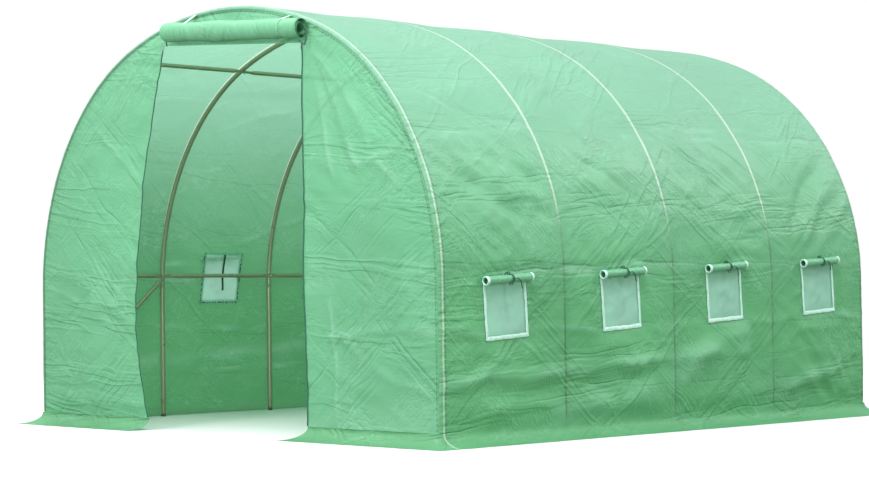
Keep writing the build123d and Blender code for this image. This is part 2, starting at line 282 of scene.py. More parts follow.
def crumple(a, b, seed):
    """Soft folds of a stiff sheet that has been packed flat, about -1 to 1."""
    shift = noise.noise(Vector((a * 1.3, b * 1.3, seed + 9))) * 0.12
    a, b = a + shift, b - shift
    broad = noise.noise(Vector((a * 2.1, b * 2.1, seed)))
    folds = (
        ridge(a, b, radians(62), 3.2, 0.3, seed + 1)
        + ridge(a, b, radians(118), 3.6, 0.3, seed + 2)
        + 0.6 * ridge(a, b, radians(88), 6.5, 0.22, seed + 3)
    )
    patch = smooth_share(noise.noise(Vector((a * 1.7, b * 1.7, seed + 5))), -0.15, 0.3)
    other = smooth_share(noise.noise(Vector((a * 1.9, b * 1.9, seed + 6))), -0.15, 0.3)
    small = patch * ridge(a, b, radians(38), 9, 0.3, seed + 7)
    small += other * ridge(a, b, radians(122), 10, 0.3, seed + 8)
    return 0.5 * broad + 0.38 * folds + 0.42 * small


def line_distance(a, b, points):
    """Distance of a place from a line of points."""
    nearest = 9.0
    for (a0, b0), (a1, b1) in zip(points, points[1:]):
        da, db = a1 - a0, b1 - b0
        f = min(max(((a - a0) * da + (b - b0) * db) / (da * da + db * db), 0), 1)
        nearest = min(nearest, hypot(a - a0 - f * da, b - b0 - f * db))
    return nearest


def fold_marks(folds, a, b):
    """What a list of folds does at a place: how far it lifts the sheet, and how pale its crest is, from wear
    on a narrow crease and as painted sheen on a broad raised fold.
    """
    lift = worn_and_sheen = 0.0
    stray = noise.noise_vector(Vector((a * 3.7, b * 3.7, 2.0))) * 0.03
    stray += noise.noise_vector(Vector((a * 13, b * 13, 4.0))) * 0.009
    strength = 0.8 + 0.9 * noise.noise(Vector((a * 5.3, b * 5.3, 6.0)))
    a, b = a + stray.x, b + stray.y
    for height, width, points in folds:
        reach = 2.4 * width
        if not min(p[0] for p in points) - reach < a < max(p[0] for p in points) + reach:
            continue
        away = line_distance(a, b, points)
        if away < reach:
            if width < TENT_WIDTH:
                share = max(0.0, 1 - away / (2 * width)) * strength
                if width < WORN_WIDTH:
                    worn_and_sheen = max(worn_and_sheen, share**3)
            else:
                share = exp(-((away / width) ** 2)) * strength
                # A broad raised fold gets a painted sheen along its crest
                if height > 0:
                    worn_and_sheen = max(worn_and_sheen, 0.5 * share)
            lift += height * share
    return lift, min(worn_and_sheen, 1.0)


# Shader helpers

def feed(tree, made, inputs):
    """Feed a node: inputs maps its sockets to values or to the sockets that feed them."""
    for name, value in dict(inputs).items():
        if isinstance(value, bpy.types.NodeSocket):
            tree.links.new(value, made.inputs[name])
        else:
            made.inputs[name].default_value = value
    return made


def node(tree, kind, inputs=(), **values):
    """Add a node with its settings, and feed it."""
    made = tree.nodes.new(kind)
    for name, value in values.items():
        setattr(made, name, value)
    return feed(tree, made, inputs)


def math(tree, operation, *values):
    return node(tree, "ShaderNodeMath", enumerate(values), operation=operation).outputs[0]


def times(tree, first, second):
    return math(tree, "MULTIPLY", first, second)


def soft_noise(tree, vector, scale, detail, roughness=0.5):
    inputs = {"Vector": vector, "Scale": scale, "Detail": detail, "Roughness": roughness}
    return node(tree, "ShaderNodeTexNoise", inputs).outputs[0]


def split_parts(tree, vector):
    return node(tree, "ShaderNodeSeparateXYZ", {0: vector}).outputs


def blend_colour(tree, share, low, high):
    return node(tree, "ShaderNodeMix", {0: share, 6: low, 7: high}, data_type="RGBA").outputs[2]


def blend_surface(tree, share, low, high):
    return node(tree, "ShaderNodeMixShader", {0: share, 1: low, 2: high}).outputs[0]


def bumped(tree, height, strength, distance, under=None, invert=False):
    """The normal of a surface with small heights on it, which may lie on other bumps."""
    inputs = {"Height": height, "Strength": strength, "Distance": distance}
    if under is not None:
        inputs["Normal"] = under
    return node(tree, "ShaderNodeBump", inputs, invert=invert).outputs[0]


def map_share(tree, value, low, high, start=0.0, end=1.0):
    """A value's way from low to high, with soft ends, laid out from start to end."""
    inputs = {"Value": value, "From Min": low, "From Max": high, "To Min": start, "To Max": end}
    return node(tree, "ShaderNodeMapRange", inputs, interpolation_type="SMOOTHSTEP").outputs[0]


def new_group(name, vector, values, outputs):
    """A node group that takes one vector and some values, and gives values."""
    group = bpy.data.node_groups.new(name, "ShaderNodeTree")
    group.interface.new_socket(vector, in_out="INPUT", socket_type="NodeSocketVector")
    for label, value in values.items():
        socket = group.interface.new_socket(label, in_out="INPUT", socket_type="NodeSocketFloat")
        socket.default_value = value
    for label in outputs:
        group.interface.new_socket(label, in_out="OUTPUT", socket_type="NodeSocketFloat")
    return group, group.nodes.new("NodeGroupInput").outputs, group.nodes.new("NodeGroupOutput")


def woven_tape_group():
    """Flat tapes woven over and under: a height, and a tint that follows the tapes."""
    name = "Woven tape"
    if name in bpy.data.node_groups:
        return bpy.data.node_groups[name]
    group, put_in, put_out = new_group(name, "Vector", {"Pitch": 0.004}, ["Height", "Tint"])
    rate = math(group, "DIVIDE", pi, put_in["Pitch"])
    split = split_parts(group, put_in["Vector"])
    warp = math(group, "SINE", times(group, split[0], rate))
    weft = math(group, "SINE", times(group, split[1], rate))
    over = times(group, warp, weft)
    ribs = math(group, "MAXIMUM", math(group, "ABSOLUTE", warp), math(group, "ABSOLUTE", weft))
    height = math(group, "ADD", times(group, over, 0.5), ribs)
    drawn = node(group, "ShaderNodeMapping", {"Vector": put_in["Vector"], "Scale": (90, 7, 1)}).outputs[0]
    feed(group, put_out, {"Height": height, "Tint": soft_noise(group, drawn, 1.0, 2.0)})
    return group


def crumple_group():
    """Fine crinkles of a woven plastic sheet: a height, a mask along its creases, and broad patches."""
    name = "Sheet crumple"
    if name in bpy.data.node_groups:
        return bpy.data.node_groups[name]
    group, put_in, put_out = new_group(name, "Vector", {"Scale": 1.0}, ["Height", "Crease", "Mottle"])
    vector, scale = put_in["Vector"], put_in["Scale"]
    bend = node(group, "ShaderNodeTexNoise", {"Vector": vector, "Scale": 3.1, "Detail": 2.0}).outputs["Color"]
    warped = node(
        group, "ShaderNodeVectorMath", {0: bend, 1: (0.06, 0.06, 0), 2: vector}, operation="MULTIPLY_ADD"
    ).outputs[0]

    def turned(turn, stretch):
        """The warped place, turned first and then stretched."""
        shrink = (1 / stretch[0], 1 / stretch[1], 1)
        return node(
            group,
            "ShaderNodeMapping",
            {"Vector": warped, "Rotation": (0, 0, turn), "Scale": shrink},
            vector_type="TEXTURE",
        ).outputs[0]

    def crinkle(turn, stretch, patch_scale, width=0.17):
        """Sharp crests in one direction, in patches: their height, and a thin line along them."""
        laid = turned(turn, stretch)
        away = math(group, "ABSOLUTE", math(group, "SUBTRACT", soft_noise(group, laid, scale, 1.5), 0.5))
        patch = map_share(group, soft_noise(group, laid, patch_scale, 1.0), 0.47, 0.66)
        crest = times(group, map_share(group, away, 0.0, width, 1.0, 0.0), patch)
        line = times(group, map_share(group, away, 0.0, 0.03, 1.0, 0.0), patch)
        return crest, line

    level, level_line = crinkle(0.25, (44.0, 12.0), 0.13)
    slanted, slanted_line = crinkle(-0.9, (50.0, 15.0), 0.11)
    fine, fine_line = crinkle(-0.3, (120.0, 36.0), 0.05)
    long_up, _ = crinkle(0.7, (15.0, 1.7), 0.3, 0.12)
    long_down, _ = crinkle(-0.65, (17.0, 1.9), 0.28, 0.12)
    long_level, _ = crinkle(0.08, (20.0, 1.6), 0.3, 0.1)
    creased = math(group, "SUBTRACT", math(group, "MAXIMUM", long_up, long_down), long_level)
    soft = soft_noise(group, turned(0.5, (11.0, 4.5)), scale, 2.0)
    height = math(group, "ADD", math(group, "MAXIMUM", level, slanted), times(group, fine, 0.5))
    height = math(group, "ADD", height, times(group, soft, 4.0))
    height = math(group, "ADD", height, times(group, creased, 2.4))
    crease = math(group, "MAXIMUM", level_line, slanted_line)
    crease = math(group, "MAXIMUM", crease, times(group, fine_line, 0.6))
    mottle = soft_noise(group, warped, 1.4, 3.0)
    feed(group, put_out, {"Height": height, "Crease": crease, "Mottle": mottle})
    return group


def seam_group():
    """Gathers where a sheet is sewn along its edge, and masks: pale creases from wear and painted sheen,
    stitches, and painted shade along the edge.
    """
    name = "Seam gathers"
    if name in bpy.data.node_groups:
        return bpy.data.node_groups[name]
    group, put_in, put_out = new_group(name, "Marks", {"Line": 0.026}, ["Height", "Worn and sheen", "Stitch", "Rim shade"])
    along, inward, worn_and_sheen = split_parts(group, put_in["Marks"])
    left = map_share(group, along, -0.1, 0.5, 1.0, 0.25)
    # Painted shade along the edge, strongest on the left
    edge = times(group, map_share(group, inward, 0.011, 0.019, 1.0, 0.0), left)
    dash = map_share(group, math(group, "PINGPONG", along, 0.011), 0.003, 0.005)
    off_line = math(group, "ABSOLUTE", math(group, "SUBTRACT", inward, put_in["Line"]))
    stitch = times(group, dash, map_share(group, off_line, 0.0012, 0.003, 1.0, 0.0))
    laid = node(group, "ShaderNodeMapping", {"Vector": put_in["Marks"], "Scale": (34, 6, 0)}).outputs[0]
    near = map_share(group, inward, 0.0, 0.26, 1.0, 0.0)
    gathers = times(group, soft_noise(group, laid, 1.0, 2.0), near)
    feed(group, put_out, {"Height": gathers, "Worn and sheen": worn_and_sheen, "Stitch": stitch, "Rim shade": edge})
    return group


def pack_crease_group():
    """A mask of the sharp creases along which the cover was folded in its pack."""
    name = "Pack creases"
    if name in bpy.data.node_groups:
        return bpy.data.node_groups[name]
    group, put_in, put_out = new_group(name, "Vector", {}, ["Line"])
    vector = put_in["Vector"]
    down = math(group, "ABSOLUTE", split_parts(group, vector)[0])
    down = math(group, "MULTIPLY_ADD", soft_noise(group, vector, 1.7, 4.0), 0.06, down)
    lines = 0.0
    for run in PACK_CREASES:
        away = math(group, "ABSOLUTE", math(group, "SUBTRACT", down, run + 0.03))
        lines = math(group, "MAXIMUM", lines, map_share(group, away, 0.0015, 0.008, 1.0, 0.0))
    patch = map_share(group, soft_noise(group, vector, 2.6, 2.0), 0.42, 0.6)
    feed(group, put_out, {"Line": times(group, lines, patch)})
    return group


def blank_material(name):
    """A material with its nodes and its skin, or with None for those if it was made before."""
    if name in bpy.data.materials:
        return bpy.data.materials[name], None, None
    made = bpy.data.materials.new(name)
    made.use_nodes = True
    tree = made.node_tree
    return made, tree, tree.nodes["Principled BSDF"]


def shade(colour, factor):
    return (*[min(1.0, c * factor) for c in colour[:3]], 1)


def places(tree, kind):
    return node(tree, "ShaderNodeTexCoord").outputs[kind]


def woven_tape(tree, flat, pitch):
    inputs = {"Vector": flat, "Pitch": pitch}
    return node(tree, "ShaderNodeGroup", inputs, node_tree=woven_tape_group()).outputs


# Where a crease is worn the sheet turns this pale; the same tone is a painted sheen on the crests of broad
# folds and a painted highlight along fine crinkles
WORN_AND_SHEEN_TONE = (0.5, 0.84, 0.68, 1)


def woven_sheet(name, colour, through=0.36, seams=False, hoop_lines=False, clear=0.0, rim=0.0):
    """Green woven plastic sheet that lets some light through."""
    made, tree, skin = blank_material(name)
    if tree is None:
        return made
    flat, spot = places(tree, "UV"), places(tree, "Object")
    weave = woven_tape(tree, flat, 0.0035)
    folds = node(tree, "ShaderNodeGroup", {"Vector": flat}, node_tree=crumple_group()).outputs
    tone = blend_colour(tree, folds["Mottle"], shade(colour, 0.8), shade(colour, 1.22))
    tone = blend_colour(tree, times(tree, weave["Tint"], 0.22), tone, shade(colour, 1.5))
    # Painted highlight along the crests of the fine crinkles
    tone = blend_colour(tree, times(tree, folds["Crease"], 0.22), tone, WORN_AND_SHEEN_TONE)
    up = split_parts(tree, spot)[2]
    crisp = map_share(tree, up, 0.9, 1.7, 1.0, 0.75) if hoop_lines else 1.0
    bump = bumped(tree, folds["Height"], crisp, 0.0015)
    if seams:
        marks = node(tree, "ShaderNodeAttribute", attribute_name="Seam").outputs["Vector"]
        sewn = node(tree, "ShaderNodeGroup", {"Marks": marks}, node_tree=seam_group())
        # Pale where creases are worn, and painted sheen on the crests of broad raised folds
        tone = blend_colour(tree, times(tree, sewn.outputs["Worn and sheen"], 0.32), tone, WORN_AND_SHEEN_TONE)
        # Painted shade along the sheet's edge at the hoop, strongest on the left
        if rim:
            feed(tree, sewn, {"Line": 0.013})
            tone = blend_colour(tree, times(tree, sewn.outputs["Rim shade"], rim), tone, shade(colour, 0.35))
        tone = blend_colour(tree, times(tree, sewn.outputs["Stitch"], 0.6), tone, (*colours().zip_tape, 1))
        bump = bumped(tree, sewn.outputs["Height"], 0.8, 0.01, bump)
    if hoop_lines:
        lines = node(tree, "ShaderNodeGroup", {"Vector": flat}, node_tree=pack_crease_group())
        packed = lines.outputs["Line"]
        # Painted shade along the pack creases
        tone = blend_colour(tree, times(tree, packed, 0.2), tone, shade(colour, 0.6))
        bump = bumped(tree, packed, 0.4, 0.003, bump, invert=True)
        tone = over_hoops(tree, spot, tone, colour)
        through = map_share(tree, up, 1.1, 1.9, through, through + 0.15)
    bump = bumped(tree, weave["Height"], 0.15, 0.0004, bump)
    rough = map_share(tree, folds["Mottle"], 0.3, 0.7, 0.4, 0.56)
    feed(tree, skin, {"Base Color": tone, "Roughness": rough, "Normal": bump, "Specular IOR Level": 0.28})
    glow = node(tree, "ShaderNodeBsdfTranslucent", {"Color": tone, "Normal": bump})
    surface = blend_surface(tree, through, skin.outputs[0], glow.outputs[0])
    if clear:
        gaps = node(tree, "ShaderNodeBsdfTransparent")
        surface = blend_surface(tree, clear, surface, gaps.outputs[0])
    feed(tree, tree.nodes["Material Output"], {"Surface": surface})
    return made


def over_hoops(tree, spot, tone, colour):
    """Painted sheen towards the crown; where it lies on a hoop, a pale line over the roof, partly the tube
    showing through and partly a painted highlight, and a painted shadow of the tube below.
    """
    _, along, up = split_parts(tree, spot)
    # Painted sheen: paler and bluer towards the crown
    tone = blend_colour(tree, map_share(tree, up, 0.45, 1.95, 0.0, 0.47), tone, (0.54, 0.86, 0.78, 1))
    from_first = math(tree, "DIVIDE", math(tree, "SUBTRACT", along, FIRST_HOOP), BAY)
    away = times(tree, math(tree, "PINGPONG", from_first, 0.5), BAY)
    first = map_share(tree, along, HOOPS[0] + 0.05, HOOPS[0] + 0.1, 1.0, 0.0)
    last = map_share(tree, along, HOOPS[-1] - 0.1, HOOPS[-1] - 0.05)
    roof = map_share(tree, up, 0.8, 1.15)
    # Painted shadow of the hoop tubes: a thin dark line on the walls
    dark = math(tree, "SUBTRACT", map_share(tree, up, 0.06, 0.12), math(tree, "MAXIMUM", roof, first))
    dark = times(tree, dark, map_share(tree, away, 0.002, 0.008, 0.45, 0.0))
    dark = times(tree, dark, map_share(tree, soft_noise(tree, spot, 7.0, 2.0), 0.35, 0.62, 0.3, 1.0))
    reach = map_share(tree, up, 0.6, 1.6, 0.001, 0.006)
    reach = math(tree, "MULTIPLY_ADD", first, math(tree, "SUBTRACT", 0.0022, reach), reach)
    # Pale line where the sheet lies on a hoop: the pale tube showing through, and a painted highlight
    pale = map_share(tree, math(tree, "SUBTRACT", away, reach), 0.0, 0.005, 0.85, 0.0)
    low_end = map_share(tree, up, 0.1, 1.3, 0.7, 1.0)
    shown = math(tree, "MAXIMUM", roof, times(tree, first, low_end))
    shown = times(tree, shown, math(tree, "SUBTRACT", 1.0, times(tree, last, 0.9)))
    tone = blend_colour(tree, times(tree, pale, shown), tone, (0.76, 0.92, 0.8, 1))
    return blend_colour(tree, dark, tone, shade(colour, 0.3))


def painted_tube():
    """Glossy pale paint on steel tube, with cloudy tone and rubbed patches."""
    colour = colours().tube
    made, tree, skin = blank_material("Painted tube")
    if tree is None:
        return made
    spot = places(tree, "Object")
    cloud = soft_noise(tree, spot, 6.0, 4.0)
    scuff = soft_noise(tree, spot, 150.0, 5.0, 0.7)
    tone = blend_colour(tree, cloud, shade(colour, 0.9), shade(colour, 1.1))
    rubbed = map_share(tree, scuff, 0.62, 0.74)
    tone = blend_colour(tree, times(tree, rubbed, 0.1), tone, shade(colour, 0.55))
    rough = map_share(tree, cloud, 0.3, 0.75, 0.27, 0.4)
    bump = bumped(tree, scuff, 0.03, 0.0002)
    feed(tree, skin, {"Base Color": tone, "Roughness": rough, "Normal": bump, "Metallic": 0.45})
    return made


def webbing(name, colour, pitch=0.0022, clear=0.0):
    """Woven tape of a tie, strap or zip."""
    made, tree, skin = blank_material(name)
    if tree is None:
        return made
    flat = places(tree, "UV")
    bump = bumped(tree, woven_tape(tree, flat, pitch)["Height"], 0.4, 0.0005)
    cloud = soft_noise(tree, flat, 26.0, 3.0)
    tone = blend_colour(tree, cloud, shade(colour, 0.72), shade(colour, 1.28))
    rough = map_share(tree, cloud, 0.3, 0.7, 0.55, 0.8)
    feed(tree, skin, {"Base Color": tone, "Roughness": rough, "Normal": bump, "Alpha": 1 - clear})
    return made


def binding_tape():
    """Thin pale binding, with the net or the sheet showing through it in patches."""
    made, tree, skin = blank_material("Window binding")
    if tree is None:
        return made
    flat = places(tree, "UV")
    bump = bumped(tree, woven_tape(tree, flat, 0.0025)["Height"], 0.4, 0.0005)
    cloud = soft_noise(tree, flat, 55.0, 3.0)
    patch = map_share(tree, cloud, 0.4, 0.66)
    tone = blend_colour(tree, patch, (*colours().net, 1), shade(colours().binding, 1.1))
    rough = map_share(tree, cloud, 0.3, 0.7, 0.5, 0.75)
    feed(tree, skin, {"Base Color": tone, "Roughness": rough, "Normal": bump})
    return made


def window_net_finish():
    """Fine net that light comes through, with broken dark stitches along its sides and its foot."""
    colour = colours().net
    made, tree, skin = blank_material("Window net")
    if tree is None:
        return made
    flat = places(tree, "UV")
    bump = bumped(tree, woven_tape(tree, flat, 0.002)["Height"], 0.3, 0.0005)
    cloud = soft_noise(tree, flat, 9.0, 3.0)
    tone = blend_colour(tree, cloud, shade(colour, 0.8), shade(colour, 1.25))
    along, up, _ = split_parts(tree, flat)
    from_middle = math(tree, "ABSOLUTE", along)
    beside = math(tree, "ABSOLUTE", math(tree, "SUBTRACT", from_middle, sizes().window_width / 2 + 0.005))
    below = math(tree, "ABSOLUTE", math(tree, "ADD", up, 0.005))
    line = map_share(tree, math(tree, "MINIMUM", beside, below), 0.002, 0.005, 1.0, 0.0)
    line = times(tree, line, map_share(tree, soft_noise(tree, flat, 110.0, 1.0), 0.46, 0.56))
    tone = blend_colour(tree, line, tone, (*colours().zip_tape, 1))
    rough = map_share(tree, cloud, 0.3, 0.7, 0.5, 0.7)
    feed(tree, skin, {"Base Color": tone, "Roughness": rough, "Normal": bump})
    glow = node(tree, "ShaderNodeBsdfTranslucent", {"Color": tone})
    surface = blend_surface(tree, 0.5, skin.outputs[0], glow.outputs[0])
    feed(tree, tree.nodes["Material Output"], {"Surface": surface})
    return made


def zinc_plate():
    """Dull zinc on bolts, nuts and zip pulls."""
    colour = colours().zinc
    made, tree, skin = blank_material("Zinc plate")
    if tree is None:
        return made
    cloud = soft_noise(tree, places(tree, "Object"), 240.0, 4.0)
    tone = blend_colour(tree, cloud, shade(colour, 0.7), shade(colour, 1.2))
    rough = map_share(tree, cloud, 0.3, 0.7, 0.25, 0.5)
    feed(tree, skin, {"Base Color": tone, "Roughness": rough, "Metallic": 0.85})
    return made


# Pieces

# Folds of the main cover: height, spread, and points (run down from the crown, place along)
LONG_FOLDS = [
    (-0.005, 0.014, [(2.17, -1.45), (2.15, -0.51), (2.11, 0.20), (2.12, 1.45)]),
    (0.006, 0.016, [(2.41, -1.50), (2.41, -0.51), (2.42, 0.12), (2.39, 1.45)]),
    (0.010, 0.035, [(2.64, -1.48), (2.61, -1.18), (2.60, -0.78), (2.57, 0.04), (2.55, 0.5)]),
    (-0.008, 0.03, [(2.70, -1.48), (2.68, -1.18), (2.67, -0.78), (2.64, 0.04)]),
]
RIGHT_FOLDS = [
    (-0.016, 0.030, [(1.55, -1.44), (1.78, -1.27), (1.89, -1.00)]),
    (0.012, 0.024, [(1.62, -1.44), (1.82, -1.22), (1.90, -0.92)]),
    (-0.015, 0.028, [(1.67, -1.45), (1.85, -1.16), (1.91, -0.81)]),
    (0.009, 0.022, [(1.56, -1.40), (1.63, -1.10), (1.70, -0.85)]),
    (-0.012, 0.028, [(1.60, -1.24), (1.67, -0.98), (1.76, -0.82)]),
    (-0.005, 0.012, [(1.21, -1.40), (1.40, -1.19), (1.48, -0.74)]),
    (-0.004, 0.012, [(1.53, -1.47), (1.52, -1.13), (1.48, -0.77)]),
    (-0.003, 0.013, [(1.45, 0.03), (1.43, 0.50), (1.40, 1.13)]),
    (-0.003, 0.014, [(1.51, -0.11), (1.49, 0.38), (1.45, 1.46)]),
    (-0.004, 0.016, [(1.62, 0.05), (1.80, 0.30), (1.84, 0.55)]),
    (0.006, 0.022, [(1.70, 0.02), (1.86, 0.30), (1.88, 0.60)]),
    (-0.004, 0.016, [(1.58, -0.62), (1.72, -0.35), (1.88, -0.10)]),
    (0.005, 0.022, [(1.66, -0.68), (1.80, -0.40), (1.92, -0.15)]),
    (-0.010, 0.030, [(1.56, 1.46), (1.72, 1.17), (1.95, 0.92)]),
    (0.006, 0.018, [(1.66, 1.46), (1.80, 1.24), (2.00, 1.02)]),
    (-0.008, 0.024, [(1.74, 1.46), (1.87, 1.25), (2.05, 1.06)]),
    (0.005, 0.016, [(1.80, 1.46), (1.93, 1.29), (2.08, 1.12)]),
    (-0.007, 0.022, [(1.88, 1.47), (1.99, 1.33), (2.12, 1.17)]),
    (0.014, 0.06, [(2.80, -0.77), (2.74, -0.25), (2.59, 0.18), (2.44, 0.49)]),
    (-0.010, 0.03, [(2.82, 0.60), (2.80, 0.85), (2.74, 1.25)]),
    (0.010, 0.035, [(2.74, 0.60), (2.72, 0.85), (2.67, 1.25)]),
    (-0.010, 0.03, [(2.20, 1.45), (2.50, 1.38), (2.78, 1.44)]),
]
LEFT_FOLDS = [
    (0.004, 0.012, [(1.10, -1.08), (1.07, -0.99), (1.05, -0.87)]),
    (0.005, 0.014, [(1.28, -0.58), (1.17, -0.35), (1.10, -0.09)]),
    (0.004, 0.012, [(1.58, -0.90), (1.56, -0.75), (1.52, -0.47)]),
    (0.005, 0.012, [(1.98, -0.25), (1.90, 0.0), (1.80, 0.26)]),
    (0.003, 0.012, [(2.09, -0.71), (2.06, -0.46)]),
    (0.004, 0.012, [(2.66, -0.50), (2.65, 0.02), (2.65, 0.29)]),
    (0.004, 0.030, [(0.91, -0.54), (0.96, -0.34), (0.90, -0.23)]),
    (0.004, 0.030, [(1.21, -0.49), (1.16, -0.30), (1.11, -0.09)]),
    (0.004, 0.025, [(0.84, -1.23), (0.85, -1.14), (0.82, -1.03)]),
    (-0.004, 0.025, [(1.00, -0.95), (1.06, -0.60), (1.02, -0.20)]),
]


# How far the cover may go in between the hoops and at a hoop
DEEPEST_SAG, HOOP_GIVE = 0.023, 0.0005


def cover_marks(run, y):
    """How far the cover stands off its smooth shape at a place, least at a hoop, and how pale it is from wear
    and painted sheen.
    """
    place = min(max((y - FIRST_HOOP) / BAY, 0), BAYS)
    between = sin(pi * (place - floor(place))) if 0 < place < BAYS else 0.0
    bent = smooth_share(CROWN_RUN + SIDE_RUN + 0.1 - abs(run), 0, 0.4)
    sag = -sizes().bay_sag * between**1.3 * bent
    side = 1 if run > 0 else -1
    folds, worn_and_sheen = fold_marks(LONG_FOLDS + (RIGHT_FOLDS if side > 0 else LEFT_FOLDS), abs(run), y)
    free = 0.12 + 0.88 * between**0.6
    flatter = 1 - 0.55 * smooth_share(CROWN_RUN + SIDE_RUN * 0.55 - abs(run), 0, 0.5)
    lift = sag + (sizes().crease * crumple(run, y, 3.1) * flatter + FOLD_GAIN * folds) * free
    lift *= window_calm(side, abs(run), y)
    return max(lift, -DEEPEST_SAG if between > 0.05 else -HOOP_GIVE), worn_and_sheen


def near_window(side, run, y, reach_along, reach_down, fade):
    """How near a place is to a window, from 0 to 1, and how far along and down from its middle it lies."""
    for bay in range(BAYS):
        centre = run_at(window_sill(side, bay) + sizes().window_height / 2, LIE)
        along, down = y - window_middle(side, bay), run - centre
        near = smooth_share(reach_along - abs(along), 0, fade) * smooth_share(reach_down - abs(down), 0, fade)
        if near > 0:
            return near, along, down
    return 0.0, 0.0, 0.0


def window_calm(side, run, y):
    """How much of the cover's folds is left near a window, where its seams and its roll hold it flat."""
    near, _, _ = near_window(side, run, y, 0.21, 0.21, 0.07)
    return 1 - 0.85 * near


def window_warp(side, run, y):
    """Where the pulled cover takes a place near a window: each window leans a little."""
    near, along, down = near_window(side, run, y, 0.26, 0.27, 0.13)
    if side < 0:
        return run, y + sizes().left_lean * down * near
    lean = sizes().window_lean
    return run - lean * along * near, y + lean * down * near


# Steps of the mesh round an end hoop, and how much longer a skirt is than it lies wide
RIM_STEPS, SKIRT_FULL = 5, 1.2


def round_rim(run, y):
    """How far the cover lies off the hoops' line at a place along, wrapped round the two end hoops."""
    for hoop, end in ((HOOPS[0], FRONT), (HOOPS[-1], REAR)):
        if (y - hoop) * (end - hoop) > 0:
            turn = (y - hoop) / (end - hoop) * pi / 2
            pucker = 0.0022 * sin(2 * turn) * noise.noise(Vector((run * 42, end, 3.3)))
            return LIE * cos(turn) + pucker, hoop + (end - hoop) * sin(turn)
    return LIE, y


def main_cover():
    """One sheet from the edge of one skirt over the roof to the edge of the other, with window openings."""
    openings = {1: [], -1: []}
    half = sizes().window_width / 2
    for side, windows in openings.items():
        for bay in range(BAYS):
            low, y = window_sill(side, bay), window_middle(side, bay)
            windows.append((run_at(low + sizes().window_height, LIE), run_at(low, LIE), y - half, y + half))
    edge = FOLD_RUN + SKIRT * SKIRT_FULL
    stops = {-edge, -FOLD_RUN, 0.0, FOLD_RUN, edge}
    for side, windows in openings.items():
        for head, sill, _, _ in windows:
            stops |= {side * head, side * sill}
    ends = {FRONT, REAR, *HOOPS}
    for k in range(1, RIM_STEPS):
        ends |= {FRONT + (HOOPS[0] - FRONT) * k / RIM_STEPS, REAR + (HOOPS[-1] - REAR) * k / RIM_STEPS}
    for _, _, low, high in openings[1] + openings[-1]:
        ends |= {low, high}
    worn_and_sheen = {}
    bm = bmesh.new()

    def place(run, y):
        side = 1 if run > 0 else -1
        if abs(run) > FOLD_RUN:
            return skirt_point(side, (abs(run) - FOLD_RUN) / SKIRT_FULL, y)
        lift, worn_and_sheen[run, y] = cover_marks(run, y)
        lift *= smooth_share(FOLD_RUN - abs(run), 0, 0.1)
        run, y = window_warp(side, abs(run), y)
        offset, y = round_rim(side * run, y)
        x, z, out_x, out_z = arch(side * run, offset)
        return Vector((x + out_x * lift, y, z + out_z * lift))

    _, spots = grid_sheet(
        bm,
        spaced(sorted(stops), sizes().mesh_step),
        spaced(sorted(ends), sizes().mesh_step),
        place,
        lambda run, y: (run, y),
        lambda run, y: (run, min(y - FRONT, REAR - y), worn_and_sheen.get((run, y), 0)),
    )
    cut = []
    for f in bm.faces:
        run = sum(spots[v][0] for v in f.verts) / 4
        y = sum(spots[v][1] for v in f.verts) / 4
        for head, sill, low, high in openings[1 if run > 0 else -1]:
            if head < abs(run) < sill and low < y < high:
                cut.append(f)
    bmesh.ops.delete(bm, geom=cut, context="FACES")
    piece = finish_piece(
        "main_cover",
        bm,
        woven_sheet("Cover sheet", colours().cover, seams=True, hoop_lines=True),
        [f"{side}_{part}" for side in ("left", "right") for part in ("side_wall", "roof_slope", "skirt")]
        + ["roof_crown"],
        turn_out=lambda c: Vector((c.x, 0, c.z - 0.5)),
    )


def skirt_point(side, out, y):
    """A place on a long skirt, by how far out from the wall it lies."""
    reach, height = skirt_flare(out / SKIRT, y, side)
    return Vector((side * (HALF + LIE + reach), y * (1 + reach / REAR), height))


def skirt_flare(share, along, seed):
    """How far out and how high a skirt is at a share of its width: upright at the wall, flat at its edge."""
    turn = share * pi / 2
    wave = 0.014 * noise.noise(Vector((along * 5.1, seed * 3, 1.7))) * share
    reach = SKIRT * (1 - cos(turn)) - abs(wave)
    return reach, max(FOLD * (1 - sin(turn)) + abs(wave) * 0.5 * (1 - share), 0.0006)


DOOR_LEFT = [
    (0.0, -0.545), (0.06, -0.56), (0.3, -0.612), (0.65, -0.634), (1.2, -0.562), (1.5, -0.502), (1.86, -0.4)
]
DOOR_RIGHT = 0.6375
DOOR_RIGHT_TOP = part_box("front_header")[0][2]
DOOR_LEFT_TOP = DOOR_RIGHT_TOP + 0.084


def door_left(height):
    """Place across the tunnel of the doorway's slack left edge."""
    return curve_through(DOOR_LEFT, height)


def door_right(height):
    """Place across the tunnel of the doorway's right edge, which hangs nearly straight."""
    return DOOR_RIGHT + 0.006 * sin(height * 7)


